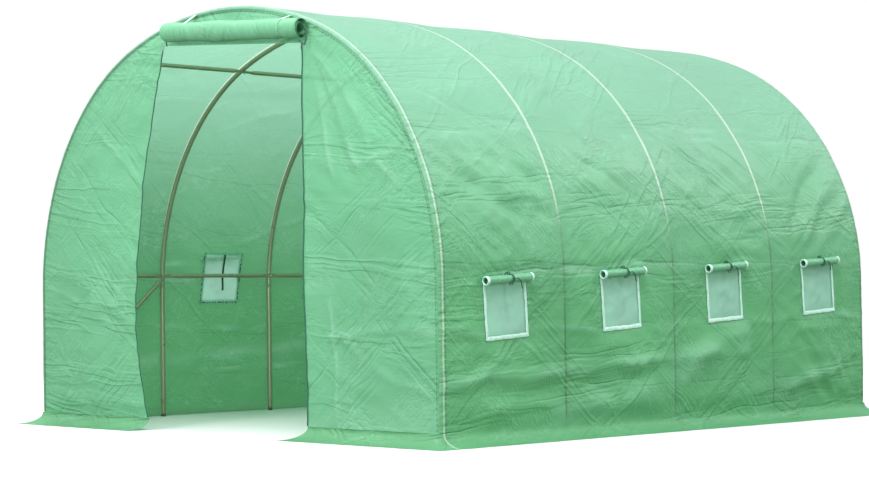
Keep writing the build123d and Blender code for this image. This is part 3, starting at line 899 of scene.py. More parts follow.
# Folds of the door end: height, spread, and points (height up, place across)
FRONT_FOLDS = [
    (0.008, 0.016, [(0.46, 0.79), (0.475, 1.12), (0.494, 1.48)]),
    (0.008, 0.014, [(0.44, 0.90), (0.33, 1.06), (0.26, 1.22), (0.24, 1.46)]),
    (0.005, 0.013, [(0.62, 0.82), (0.40, 0.82), (0.25, 0.85), (0.08, 0.86)]),
    (0.006, 0.018, [(1.76, 0.67), (1.46, 0.78), (1.15, 0.86)]),
    (-0.007, 0.024, [(1.74, 0.70), (1.49, 0.83), (1.18, 0.95)]),
    (0.006, 0.018, [(1.73, 0.71), (1.50, 0.87), (1.20, 1.02)]),
    (0.005, 0.016, [(1.72, 0.73), (1.54, 0.92), (1.30, 1.10)]),
    (-0.005, 0.022, [(1.72, 0.75), (1.57, 0.94), (1.36, 1.13)]),
    (0.005, 0.012, [(1.22, 1.14), (1.06, 1.33)]),
    (0.005, 0.012, [(1.21, 0.94), (1.26, 1.27)]),
    (0.007, 0.012, [(1.50, -0.99), (1.30, -0.75), (1.17, -0.56)]),
    (0.005, 0.013, [(0.745, -1.47), (0.61, -1.15), (0.49, -0.80), (0.365, -0.62)]),
    (0.007, 0.03, [(0.12, -1.35), (0.15, -0.95), (0.10, -0.62)]),
]


# Heights of the ends' slack and creases
FRONT_BELLY, FRONT_CREASE, REAR_CREASE = 0.012, 0.011, 0.015


def front_lift(x, z, inward):
    """How far the door end stands out, and how pale it is from wear and painted sheen, by a share of the way
    in from the hoop.
    """
    slack = smooth_share(inward, 0.0, 0.3)
    folds, worn_and_sheen = fold_marks(FRONT_FOLDS, z, x)
    belly = FRONT_BELLY * sin(pi * min(max((z - FOLD) / 1.6, 0), 1)) * (1 if x < 0 else 0.6)
    lift = (FRONT_CREASE * crumple(z, x, 11.3) + folds + belly) * slack
    return max(lift, -HOOP_GIVE), worn_and_sheen


def front_wall():
    """One sheet round the doorway, from the front hoop to the doorway's edges."""
    corner = door_left(DOOR_LEFT_TOP)
    left_run, right_run = run_over(corner), run_over(DOOR_RIGHT)
    worn_and_sheen = {}
    bm = bmesh.new()

    def rim_run(share):
        if share < 1:
            return -FOLD_RUN + share * (left_run + FOLD_RUN)
        if share < 2:
            return left_run + (share - 1) * (right_run - left_run)
        return right_run + (share - 2) * (FOLD_RUN - right_run)

    def jamb(share):
        if share < 1:
            height = FOLD + share * (DOOR_LEFT_TOP - FOLD)
            return door_left(height), height
        if share < 2:
            over = share - 1
            height = DOOR_LEFT_TOP + over * (DOOR_RIGHT_TOP - DOOR_LEFT_TOP)
            return corner + over * (DOOR_RIGHT - corner), height
        height = DOOR_RIGHT_TOP - (share - 2) * (DOOR_RIGHT_TOP - FOLD)
        return door_right(height), height

    def spot(share, inward):
        x0, z0, _, _ = arch(rim_run(share), 0.0)
        x1, z1 = jamb(share)
        return x0 + (x1 - x0) * inward, z0 + (z1 - z0) * inward

    def place(share, inward):
        x, z = spot(share, inward)
        lift, worn_and_sheen[share, inward] = front_lift(x, z, inward)
        return Vector((x, FRONT - lift, z))

    def flat(share, inward):
        x, z = spot(share, inward)
        return z, x

    def seam(share, inward):
        x0, z0, _, _ = arch(rim_run(share), 0.0)
        x, z = spot(share, inward)
        return rim_run(share), hypot(x - x0, z - z0), worn_and_sheen[share, inward]

    grid_sheet(bm, spaced([0.0, 1.0, 2.0, 3.0], 0.0075), spaced([0.0, 1.0], 0.016), place, flat, seam)
    piece = finish_piece(
        "front_wall",
        bm,
        woven_sheet("Front sheet", colours().front, seams=True, clear=0.13, rim=0.55),
        ["front_left_wall", "front_right_wall", "front_header"],
        turn_out=lambda c: Vector((0, -1, 0)),
    )


def rear_wall():
    """The closed end: one sheet inside the rear hoop's outline."""
    bm = bmesh.new()
    heights = spaced([FOLD, TOP], 0.022)

    def half_at(height):
        if height <= LEG:
            return HALF
        low, high = 0.0, CROWN_RUN + SIDE_RUN
        for _ in range(40):
            middle = (low + high) / 2
            if arch(middle, 0.0)[1] > height:
                low = middle
            else:
                high = middle
        return arch(high, 0.0)[0]

    halves = {h: half_at(h) for h in heights}

    def place(share, height):
        x = halves[height] * share
        near = min(1 - abs(share), (TOP - height) / 0.5 + 0.05, (height - FOLD) / 0.3 + 0.1)
        lift = REAR_CREASE * crumple(height, x, 23.7) * smooth_share(near, 0, 0.3)
        return Vector((x, REAR + max(lift, -0.0008), height))

    grid_sheet(bm, spaced([-1.0, 1.0], 0.016), heights, place, lambda share, h: (h, halves[h] * share))
    bmesh.ops.remove_doubles(bm, verts=bm.verts[:], dist=0.0002)
    piece = finish_piece(
        "rear_wall_sheet", bm, woven_sheet("Rear sheet", colours().cover), ["rear_wall"],
        turn_out=lambda c: Vector((0, 1, 0)),
    )


def end_skirts():
    """Strips that lie outward on the ground along the two ends."""
    outside = HALF + LIE
    strips = (
        ("front_left_skirt_sheet", -1, -outside, door_left(FOLD), "front_left_skirt"),
        ("front_right_skirt_sheet", -1, DOOR_RIGHT, outside, "front_right_skirt"),
        ("rear_skirt_sheet", 1, -outside, outside, "rear_skirt"),
    )
    for name, way, low, high, node_name in strips:
        bm = bmesh.new()

        def place(x, share, way=way, low=low, high=high):
            reach, height = skirt_flare(share, x, way * 2)
            at_right = smooth_share(x, outside - 0.2, outside)
            at_left = smooth_share(-x, outside - 0.2, outside)
            spread = reach * (at_right - at_left)
            if high < outside:
                spread -= 0.3 * reach * smooth_share(x, high - 0.3, high)
            if low > -outside:
                spread -= reach * smooth_share(-x, -low - 0.3, -low)
            return Vector((x + spread, (REAR if way > 0 else FRONT) + way * reach, height))

        grid_sheet(
            bm, spaced([low, high], 0.02), spaced([0.0, 1.0], 0.1), place, lambda x, share: (share * 0.14, x)
        )
        piece = finish_piece(
            name, bm, woven_sheet("Skirt sheet", colours().skirt, through=0.25), [node_name],
            turn_out=lambda c, way=way: Vector((0, way, 1)),
        )


def rolled_flap(
    bm, length, inner, outer, turns, seed, put, pinches=(), sag=0.0, telescope=0.0, loose_share=1.0
):
    """Add a flap rolled up on itself, along X, to bm; put moves each point to its place."""
    steps = spaced([0.0, float(turns)], 1 / 24)
    stations = spaced([-length / 2, length / 2], 0.012)
    pitch = (outer - inner) / turns

    def place(along, turn):
        loose = 0.04 * noise.noise(Vector((along * 5, turn * 1.1, seed)))
        loose += 0.02 * ridge(along, turn * 0.09, radians(70), 9, 0.35, seed + 4)
        loose = 1 + loose * loose_share
        for pinch in pinches:
            loose -= 0.1 * exp(-(((along - pinch) / 0.03) ** 2))
        radius = (inner + pitch * turn) * loose
        end = telescope * sin(turn * 2.4 + seed) * (2 * along / length) ** 3
        angle = 2 * pi * turn
        drop = 1 + sag if sin(angle) < 0 else 1
        return put(Vector((along + end, radius * cos(angle), radius * sin(angle) * drop)))

    grid_sheet(bm, stations, steps, place, lambda along, turn: (along, turn * 2 * pi * (inner + outer) / 2))


def spiral_length(inner, outer, turns):
    return pi * (inner + outer) * turns


def smooth_line(points, step):
    """Points along a smooth line through a few given ones."""
    runs = [0.0]
    for a, b in zip(points, points[1:]):
        runs.append(runs[-1] + (b - a).length)
    ways = [[(run, point[axis]) for run, point in zip(runs, points)] for axis in range(3)]
    return [Vector([curve_through(way, run) for way in ways]) for run in spaced([0.0, runs[-1]], step)]


def tape(bm, points, across, width):
    """Add a flat tape whose middle follows points."""
    grid_sheet(
        bm, [-width / 2, 0.0, width / 2], list(range(len(points))), lambda a, k: points[k] + across * a,
        lambda a, k: (a, k * 0.006),
    )


def thicken(piece, depth):
    rim = piece.modifiers.new("Thickness", "SOLIDIFY")
    rim.thickness = depth
    rim.offset = 0


DOOR_ROLL_LOW, DOOR_ROLL_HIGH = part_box("door_roll")
DOOR_ROLL_MIDDLE = (Vector(DOOR_ROLL_LOW) + Vector(DOOR_ROLL_HIGH)) / 2 + Vector((0.028, 0, -0.009))
DOOR_ROLL_TURN = Matrix.Rotation(radians(4.5), 3, "Y")
DOOR_ROLL_AXIS = DOOR_ROLL_TURN @ Vector((1, 0, 0))
DOOR_ROLL_LENGTH = 1.0
DOOR_ROLL_INNER = 0.022
DOOR_ROLL_RADIUS = 0.0455
DOOR_ROLL_SAG = 0.06
DOOR_TIES = (-0.335, 0.375)


def flap_sheet():
    return woven_sheet("Flap sheet", colours().front, through=0.25)


def door_roll():
    """The door flap, rolled up over the doorway."""
    turns = sizes().roll_turns
    bm = bmesh.new()
    rolled_flap(
        bm, DOOR_ROLL_LENGTH, DOOR_ROLL_INNER, DOOR_ROLL_RADIUS, turns, 2.2,
        lambda p: DOOR_ROLL_MIDDLE + DOOR_ROLL_TURN @ p, DOOR_TIES, DOOR_ROLL_SAG,
        telescope=0.006, loose_share=2.4,
    )
    piece = finish_piece("door_roll_flap", bm, flap_sheet(), ["door_roll"])
    around = spiral_length(DOOR_ROLL_INNER, DOOR_ROLL_RADIUS, turns)


def door_ties():
    """Pale bands that hang from the seam of the arch and hold the rolled door flap up."""
    radius, wide, thick = DOOR_ROLL_RADIUS * 0.92, 0.02, 0.001
    bm = bmesh.new()
    heads = bmesh.new()
    for along in DOOR_TIES:
        centre = DOOR_ROLL_MIDDLE + DOOR_ROLL_AXIS * along
        x, z, _, _ = arch(run_over(centre.x), 0.004)
        seam = Vector((x, FRONT - 0.005, z))
        away = seam - centre
        toward = atan2(away.z, away.y)
        half = acos(radius / hypot(away.y, away.z))
        turns = spaced([toward + half, 1.85 * pi], 0.12)
        loop = [
            centre + Vector((0, radius * cos(a), radius * sin(a) * (1 + DOOR_ROLL_SAG * (sin(a) < 0))))
            for a in turns
        ]
        tape(bm, loop, DOOR_ROLL_AXIS, wide)
        tape(heads, [seam, *loop[:3]], DOOR_ROLL_AXIS, wide)
    mint = webbing("Mint webbing", shade(colours().front, 1.2), clear=0.45)
    thicken(finish_piece("door_tie_bands", bm, mint, ["door_ties"]), thick)
    pale = webbing("Pale webbing", colours().binding, clear=0.2)
    thicken(finish_piece("door_tie_heads", heads, pale), thick)


def door_cords():
    """Dark tapes at the ends of the rolled door flap."""
    left = DOOR_ROLL_MIDDLE - DOOR_ROLL_AXIS * (DOOR_ROLL_LENGTH / 2 - 0.008)
    right = DOOR_ROLL_MIDDLE + DOOR_ROLL_AXIS * (DOOR_ROLL_LENGTH / 2 + 0.004)
    reach = DOOR_ROLL_RADIUS + 0.004
    routes = (
        ([(-0.034, 0.2, -0.7), (-0.032, 0.25, -1.0), (-0.030, 0.3, -1.3)], left),
        ([(0.006, -0.3, 0.5), (0.012, 0.2, -0.1), (0.012, 0.3, -1.0), (0.008, 0.2, -1.55)], right),
        ([(0.008, 0.2, -1.55), (-0.004, 0.1, -1.35), (-0.018, -0.1, -1.05)], right),
    )
    bm = bmesh.new()
    for route, end in routes:
        points = [end + Vector((x, y * reach, z * reach)) for x, y, z in route]
        tape(bm, smooth_line(points, 0.006), Vector((0.8, 0.6, 0)), 0.0065)
    piece = finish_piece("door_roll_tapes", bm, webbing("Dark webbing", colours().webbing))
    thicken(piece, 0.0015)


def door_zips():
    """Dark zip tapes along the doorway's edges."""
    wide = sizes().zip_width
    bm = bmesh.new()
    for left, top in ((True, DOOR_LEFT_TOP), (False, DOOR_RIGHT_TOP)):
        def place(across, height, left=left):
            x = door_left(height) - across if left else door_right(height) + across
            lift, _ = front_lift(x, height, 1.0)
            ruck = 0.0016 * noise.noise(Vector((height * 38, x * 4, 2.0)))
            return Vector((x + ruck, FRONT - lift - 0.0025, height))

        heights = spaced([FOLD + 0.004, top], 0.012)
        grid_sheet(bm, [-0.001, wide / 2, wide], heights, place, lambda a, h: (a, h))
    cloth = webbing("Zip tape", colours().zip_tape, 0.004)
    piece = finish_piece("door_zip_tapes", bm, cloth, ["door_zips"])
    thicken(piece, 0.0012)


def rounded_block(bm, middle, size):
    """Add a small block with rounded edges."""
    place = Matrix.Translation(middle) @ Matrix.Diagonal((*size, 1))
    made = bmesh.ops.create_cube(bm, size=1, matrix=place)["verts"]
    edges = list({e for v in made for e in v.link_edges})
    bmesh.ops.bevel(
        bm, geom=edges, offset=min(size) * 0.25, segments=2, profile=0.5, affect="EDGES", material=-1
    )


def zip_pulls():
    """A slider and its pull at the top of each zip."""
    bm = bmesh.new()
    for x, height in ((door_left(DOOR_LEFT_TOP), DOOR_LEFT_TOP), (DOOR_RIGHT, DOOR_RIGHT_TOP)):
        lift, _ = front_lift(x, height - 0.02, 1.0)
        y = FRONT - lift - 0.006
        rounded_block(bm, Vector((x, y, height - 0.008)), (0.007, 0.005, 0.010))
        rounded_block(bm, Vector((x + 0.001, y - 0.0035, height - 0.019)), (0.004, 0.002, 0.016))
    finish_piece("door_zip_pulls", bm, zinc_plate(), smooth=False)


def window_place(side, height, y, out):
    """A place on a side wall near a window, by height, place along and distance out from the cover."""
    run = run_at(height, LIE)
    lift, _ = cover_marks(side * run, y)
    run, y = window_warp(side, run, y)
    x, z, _, _ = arch(side * run, LIE + lift + out)
    return Vector((x, y, z))


NET_LAP = 0.012


def window_nets(side, name):
    """The nets in one side's four window openings."""
    bm = bmesh.new()
    wide, tall = sizes().window_width, sizes().window_height
    for bay in range(BAYS):
        sill, middle = window_sill(side, bay), window_middle(side, bay)

        def place(y, height, middle=middle, sill=sill):
            belly = (1 - (2 * (y - middle) / wide) ** 2) * (1 - (2 * (height - sill) / tall - 1) ** 2)
            lift = 0.010 * max(belly, 0) * crumple(height * 2.6, y * 2.6, 31.0)
            return window_place(side, height, y, -0.0025 + lift)

        grid_sheet(
            bm, spaced([middle - wide / 2 - NET_LAP, middle + wide / 2 + NET_LAP], 0.01),
            spaced([sill - NET_LAP, sill + tall + NET_LAP], 0.01), place,
            lambda y, h, middle=middle, sill=sill: (y - middle, h - sill),
        )
    piece = finish_piece(
        f"{name}_window_net_panes", bm, window_net_finish(), [f"{name}_window_nets"],
        turn_out=lambda c: Vector((side, 0, 0)),
    )


WINDOW_ROLL_INNER = 0.0158
WINDOW_ROLL_OUTER = 0.0194
WINDOW_ROLL_TURNS = 3
WINDOW_ROLL_OUT = TUBE + 0.0241
WINDOW_ROLL_TILT = radians(3.6)
ROLL_ALONG = Vector((0, cos(WINDOW_ROLL_TILT), sin(WINDOW_ROLL_TILT)))
ROLL_UP = Vector((0, -sin(WINDOW_ROLL_TILT), cos(WINDOW_ROLL_TILT)))


def roll_place(side, bay):
    """Middle of a window's rolled flap."""
    height = window_sill(side, bay) + sizes().window_height - 0.01
    x, z, _, _ = arch(side * run_at(height, WINDOW_ROLL_OUT), WINDOW_ROLL_OUT)
    return Vector((x, window_middle(side, bay), z))


def on_roll(side, bay, along, out, up):
    """A place near a window's rolled flap, in the flap's own directions."""
    return roll_place(side, bay) + ROLL_ALONG * along + Vector((side * out, 0, 0)) + ROLL_UP * up


def window_roll_length():
    return sizes().window_width + 0.034


def window_rolls(side, name):
    """The flaps of one side's four windows, each rolled up over its opening."""
    bm = bmesh.new()
    turns, length = WINDOW_ROLL_TURNS, window_roll_length()
    for bay in range(BAYS):
        rolled_flap(
            bm, length, WINDOW_ROLL_INNER, WINDOW_ROLL_OUTER, turns, 5.5 + bay * 1.7 + side,
            lambda p, bay=bay: on_roll(side, bay, p.x, p.y, p.z), (0.014,),
        )
    piece = finish_piece(f"{name}_window_flaps", bm, flap_sheet(), [f"{name}_window_rolls"])
    around = spiral_length(WINDOW_ROLL_INNER, WINDOW_ROLL_OUTER, turns)


def roll_end_binding(bm, side, bay, end):
    """Add the pale binding that folds over one end of a window's rolled flap."""
    edge = end * window_roll_length() / 2
    inner, outer = WINDOW_ROLL_INNER, WINDOW_ROLL_OUTER
    profile = (
        (0.013, outer + 0.0008), (0.003, outer + 0.0012), (0.0, outer), (-0.001, (inner + outer) / 2),
        (0.0, inner), (0.003, inner - 0.0006), (0.008, inner - 0.0004),
    )
    verts = [bm.verts.new(on_roll(side, bay, edge - end * back, 0.0, reach)) for back, reach in profile]
    edges = [bm.edges.new(two) for two in zip(verts, verts[1:])]
    bmesh.ops.spin(
        bm, geom=verts + edges, cent=roll_place(side, bay), axis=ROLL_ALONG, angle=2 * pi, steps=24,
        use_merge=True, use_duplicate=False,
    )


def window_bindings(side, name):
    """Pale binding down both sides and along the sill of each window, and over the ends of its flap."""
    bm = bmesh.new()
    wide, tall, strip = sizes().window_width, sizes().window_height, sizes().binding
    for bay in range(BAYS):
        sill, middle = window_sill(side, bay), window_middle(side, bay)
        for edge in (-1, 1):
            def upright(across, height, edge=edge, middle=middle):
                frayed = 0.003 * noise.noise(Vector((middle * 9 + edge, height * 26, across * 60)))
                y = middle + edge * (wide / 2 + across - strip * 0.6 + frayed)
                bulge = 0.002 * (1 - (2 * across / strip - 1) ** 2)
                return window_place(side, height, y, 0.002 + bulge)

            grid_sheet(
                bm, spaced([0.0, strip], strip / 4), spaced([sill - strip * 0.4, sill + tall], 0.01), upright,
                lambda a, h: (a, h),
            )

        def lower(y, across, sill=sill):
            frayed = 0.003 * noise.noise(Vector((y * 26, sill * 9, across * 60)))
            bulge = 0.002 * (1 - (2 * across / strip - 1) ** 2)
            return window_place(side, sill - strip * 0.5 + across * 1.2 + frayed, y, 0.0025 + bulge)

        grid_sheet(
            bm, spaced([middle - wide / 2, middle + wide / 2], 0.01), spaced([0.0, strip], strip / 4), lower,
            lambda y, a: (a, y),
        )
        for end in (-1, 1):
            roll_end_binding(bm, side, bay, end)
    bmesh.ops.recalc_face_normals(bm, faces=bm.faces[:])
    finish_piece(f"{name}_window_bindings", bm, binding_tape())


# The tie of a window's flap: lines of places along, out from and up from the roll's middle
TIE_LOOSE = (
    [(0.004, 0.006, 0.020), (-0.004, 0.008, 0.030), (-0.012, 0.006, 0.031), (-0.014, 0.004, 0.021)],
    [(-0.008, 0.008, 0.020), (-0.018, 0.010, 0.029), (-0.026, 0.008, 0.027), (-0.026, 0.006, 0.019)],
    [(0.008, 0.020, -0.010), (0.000, 0.023, -0.021), (-0.010, 0.021, -0.026), (-0.018, 0.018, -0.019)],
    [(0.014, 0.021, -0.004), (0.034, 0.023, 0.002), (0.050, 0.023, -0.010), (0.057, 0.020, -0.028),
     (0.066, 0.016, -0.046)],
)


def window_ties():
    """Dark tapes knotted round the rolled window flaps, each with loose loops and a tail."""
    wide, radius = 0.0055, WINDOW_ROLL_OUTER + 0.0006
    bm = bmesh.new()
    for side in (-1, 1):
        for bay in range(BAYS):
            for along, lean in ((0.012, 0.25), (0.016, -0.2)):
                loop = [
                    on_roll(side, bay, along + lean * radius * cos(a), radius * cos(a), radius * sin(a))
                    for a in spaced([0.0, 2 * pi], 0.25)
                ]
                tape(bm, loop, ROLL_ALONG, wide)
            for places in TIE_LOOSE:
                points = [on_roll(side, bay, *p) for p in places]
                tape(bm, smooth_line(points, 0.004), ROLL_ALONG, wide)
    cloth = webbing("Dark webbing", colours().webbing)
    piece = finish_piece("window_tie_tapes", bm, cloth, ["window_ties"])
    thicken(piece, 0.0016)


def window_straps():
    """Dark straps that hang inside the walls, down the middle of each net."""
    bm = bmesh.new()
    wide, long = 0.013, 0.198
    for side in (-1, 1):
        for bay in range(BAYS):
            head, middle = window_sill(side, bay) + sizes().window_height, window_middle(side, bay)

            def place(across, height, side=side, middle=middle, head=head):
                sway = 0.012 * smooth_share((head - height) / long, 0.5, 1.0)
                return window_place(side, height, middle + across + sway, -0.014)

            grid_sheet(
                bm, [-wide / 2, 0.0, wide / 2], spaced([head - long, head], 0.012), place, lambda a, h: (a, h)
            )
    cloth = webbing("Dark webbing", colours().webbing)
    piece = finish_piece("window_strap_tapes", bm, cloth, ["window_straps"])
    thicken(piece, 0.001)


# Rails and braces: the tube's radius, its flat ends, and where they are bolted
RAIL, TAB_HALF, TAB_NECK, FLARE = 0.011, 0.0015, 0.036, 0.032
TAB_ROOM, TAB_PITCH = 0.0003, 0.0033
TAB_SEAT = -(TUBE + TAB_ROOM + TAB_HALF)
LOWER_RAIL = 0.065 / SIDE_RADIUS
UPPER_RAIL = BEND - 0.050 / SIDE_RADIUS
BRACE_FOOT, BRACE_ROOM = 0.09, 0.0007


def hex_bolt(bm, seat, inward):
    """Add a washer, a hexagon nut and the end of its bolt, standing on seat."""
    size = sizes().bolt_size
    turn = inward.to_track_quat("Z", "Y").to_matrix().to_4x4()
    for radius, low, high, count in (
        (size * 1.05, 0.0, 0.0014, 18), (size * 0.92, 0.0014, 0.0064, 6), (size * 0.5, 0.0064, 0.0105, 12)
    ):
        lift = Matrix.Translation(seat) @ turn @ Matrix.Translation((0, 0, (low + high) / 2))
        made = bmesh.ops.create_cone(
            bm, cap_ends=True, segments=count, radius1=radius, radius2=radius, depth=high - low, matrix=lift
        )["verts"]
        rims = {e for v in made for e in v.link_edges}
        bmesh.ops.bevel(
            bm, geom=list(rims), offset=0.0004, segments=1, profile=0.5, affect="EDGES", material=-1
        )


def frame_bolts():
    """Nuts and bolt ends at the purlins and braces."""
    bm = bmesh.new()
    face = TUBE + TAB_ROOM + 2 * TAB_HALF
    for side in (-1, 1):
        for angle in (LOWER_RAIL, UPPER_RAIL):
            for k, y in enumerate(HOOPS):
                depth = face + (TAB_PITCH if k > 0 else 0)
                if angle == LOWER_RAIL and k in (1, BAYS - 1):
                    depth += TAB_PITCH + BRACE_ROOM
                reach = SIDE_RADIUS - depth
                seat = Vector((side * (SIDE_CENTRE + reach * cos(angle)), y, LEG + reach * sin(angle)))
                hex_bolt(bm, seat, Vector((-side * cos(angle), 0, -sin(angle))))
        for y in (HOOPS[0], HOOPS[-1]):
            hex_bolt(bm, Vector((side * (HALF - face), y, BRACE_FOOT)), Vector((-side, 0, 0)))
    finish_piece("frame_bolts", bm, zinc_plate(), smooth=False)


# Sides of a round tube, and depth of the groove where two tubes meet
ROUND, SEAM_DEPTH = 20, 0.0009


def hoop_tubes():
    """Round tubes of each hoop: two legs, two side bends and a crown, with a seam where they meet."""
    joints = (CROWN_RUN, CROWN_RUN + SIDE_RUN)
    foot = CROWN_RUN + SIDE_RUN + LEG
    seams = [s * j + d for s in (-1, 1) for j in joints for d in (-0.0015, 0.0, 0.0015)]
    runs = spaced(sorted([-foot, *seams, foot]), 0.022)
    turns = spaced([0.0, 2 * pi], 2 * pi / ROUND)
    for number, y in enumerate(HOOPS, 1):
        bm = bmesh.new()

        def place(run, turn, y=y):
            radius = TUBE - SEAM_DEPTH * any(abs(abs(run) - joint) < 0.0005 for joint in joints)
            x, z, _, _ = arch(run, radius * cos(turn))
            return Vector((x, y + radius * sin(turn), z))

        grid_sheet(bm, runs, turns, place, lambda run, turn: (run, turn * TUBE))
        bmesh.ops.remove_doubles(bm, verts=bm.verts[:], dist=0.0002)
        rims = [e for e in bm.edges if e.is_boundary]
        wall = bmesh.ops.extrude_edge_only(bm, edges=rims)["geom"]
        for v in (v for v in wall if isinstance(v, bmesh.types.BMVert)):
            middle = HALF if v.co.x > 0 else -HALF
            v.co = Vector((middle + (v.co.x - middle) * 0.9, y + (v.co.y - y) * 0.9, v.co.z + 0.04))
        bmesh.ops.recalc_face_normals(bm, faces=bm.faces[:])
        nodes = [f"hoop_{number}_{part}" for part in ("legs", "side_bends", "crown")]
        finish_piece(f"hoop_{number}_tubes", bm, painted_tube(), nodes)


def pressed_tube(bm, start, end, square):
    """Add a round tube from bolt to bolt, with both ends pressed flat across the direction square."""
    along = (end - start).normalized()
    up = (square - along * square.dot(along)).normalized()
    side = along.cross(up)
    span = (end - start).length
    stops = [-RAIL, 0.0, TAB_NECK, TAB_NECK + FLARE]
    tips = [-RAIL * cos(k * pi / 12) for k in range(6)]
    near = tips + spaced(stops[1:], 0.006)
    stations = near + spaced([stops[-1], span - stops[-1]], 0.05)[1:-1] + [span - s for s in reversed(near)]

    def place(run, turn):
        back = min(run, span - run)
        flat = 1 - smooth_share(back, TAB_NECK, TAB_NECK + FLARE)
        high = RAIL + (TAB_HALF - RAIL) * flat
        wide = RAIL if back > 0 else (max(RAIL * RAIL - back * back, 1e-8)) ** 0.5
        boxy = 1 - 0.7 * flat
        c, s = cos(turn), sin(turn)
        across = wide * abs(c) ** boxy * (1 if c > 0 else -1)
        lift = high * abs(s) ** boxy * (1 if s > 0 else -1)
        return start + along * run + side * across + up * lift

    made, _ = grid_sheet(
        bm, stations, spaced([0.0, 2 * pi], 2 * pi / ROUND), place, lambda run, turn: (run, turn * RAIL)
    )
    bmesh.ops.remove_doubles(bm, verts=made, dist=0.0001)


def rail_tubes():
    """Round tubes of the purlins and braces."""
    for name, side in (("left", -1), ("right", 1)):
        for level, angle in (("lower", LOWER_RAIL), ("upper", UPPER_RAIL)):
            bm = bmesh.new()
            out = Vector((side * cos(angle), 0, sin(angle)))
            for bay in range(BAYS):
                reach = SIDE_RADIUS + TAB_SEAT - (bay % 2) * TAB_PITCH
                start = Vector((side * SIDE_CENTRE, HOOPS[bay], LEG)) + out * reach
                pressed_tube(bm, start, start + Vector((0, BAY, 0)), out)
            bmesh.ops.recalc_face_normals(bm, faces=bm.faces[:])
            node_name = f"{name}_{level}_purlin"
            finish_piece(f"{node_name}_tubes", bm, painted_tube(), [node_name])
        for end, foot_hoop, head_hoop in (("front", 0, 1), ("rear", BAYS, BAYS - 1)):
            bm = bmesh.new()
            foot = Vector((side * (HALF + TAB_SEAT), HOOPS[foot_hoop], BRACE_FOOT))
            reach = SIDE_RADIUS + TAB_SEAT - 2 * TAB_PITCH - BRACE_ROOM
            head_x = SIDE_CENTRE + reach * cos(LOWER_RAIL)
            head = Vector((side * head_x, HOOPS[head_hoop], LEG + reach * sin(LOWER_RAIL)))
            pressed_tube(bm, foot, head, Vector((side, 0, 0)))
            bmesh.ops.recalc_face_normals(bm, faces=bm.faces[:])
            node_name = f"{end}_{name}_brace"
            finish_piece(f"{node_name}_tube", bm, painted_tube(), [node_name])


# Stage

def plain_floor():
    """Pale floor that fades into the background far off, and throws little light back up."""
    made, tree, skin = blank_material("Plain floor")
    if tree is None:
        return made
    spot = places(tree, "Object")
    far = node(tree, "ShaderNodeVectorMath", {0: spot}, operation="LENGTH").outputs["Value"]
    pale = blend_colour(tree, soft_noise(tree, spot, 0.6, 2.0), (0.78, 0.79, 0.78, 1), (0.82, 0.83, 0.82, 1))
    seen = node(tree, "ShaderNodeLightPath").outputs["Is Camera Ray"]
    tone = blend_colour(tree, seen, (0.25, 0.27, 0.22, 1), pale)
    fade = map_share(tree, far, 3.5, 8.0, 1.0, 0.0)
    feed(tree, skin, {"Base Color": tone, "Alpha": fade, "Roughness": 0.9})
    return made


def studio_world():
    """Soft light that is strongest from above, in front of a white background."""
    world = bpy.data.worlds.new("Soft studio")
    world.use_nodes = True
    tree = world.node_tree
    up = split_parts(tree, places(tree, "Generated"))[2]
    strength = map_share(tree, up, -0.1, 0.95, 0.45, 1.6)
    sky = feed(tree, tree.nodes["Background"], {"Color": (0.95, 0.98, 1.0, 1), "Strength": strength})
    seen = node(tree, "ShaderNodeBackground", {"Color": (1, 1, 1, 1), "Strength": 1.0})
    rays = node(tree, "ShaderNodeLightPath")
    shown = math(tree, "MAXIMUM", rays.outputs["Is Camera Ray"], rays.outputs["Is Glossy Ray"])
    shown = math(tree, "MAXIMUM", shown, rays.outputs["Is Transmission Ray"])
    both = blend_surface(tree, shown, sky.outputs[0], seen.outputs[0])
    feed(tree, tree.nodes["World Output"], {"Surface": both})
    return world


def add_lamp(kind, name, place, aim, power, **values):
    """Add a lamp that points at a place."""
    lamp = bpy.data.lights.new(name, kind)
    lamp.energy = power
    for key, value in values.items():
        setattr(lamp, key, value)
    holder = bpy.data.objects.new(name, lamp)
    holder.location = place
    holder.rotation_euler = (Vector(aim) - Vector(place)).to_track_quat("-Z", "Y").to_euler()
    bpy.context.scene.collection.objects.link(holder)


# The photo's camera as fitted: its heading, tilt and roll in degrees, its place and its lens
CAMERA_TURNS, CAMERA_PLACE, CAMERA_LENS = (46.54, 91.23, -0.73), (7.850, -7.546, 0.635), 87.1


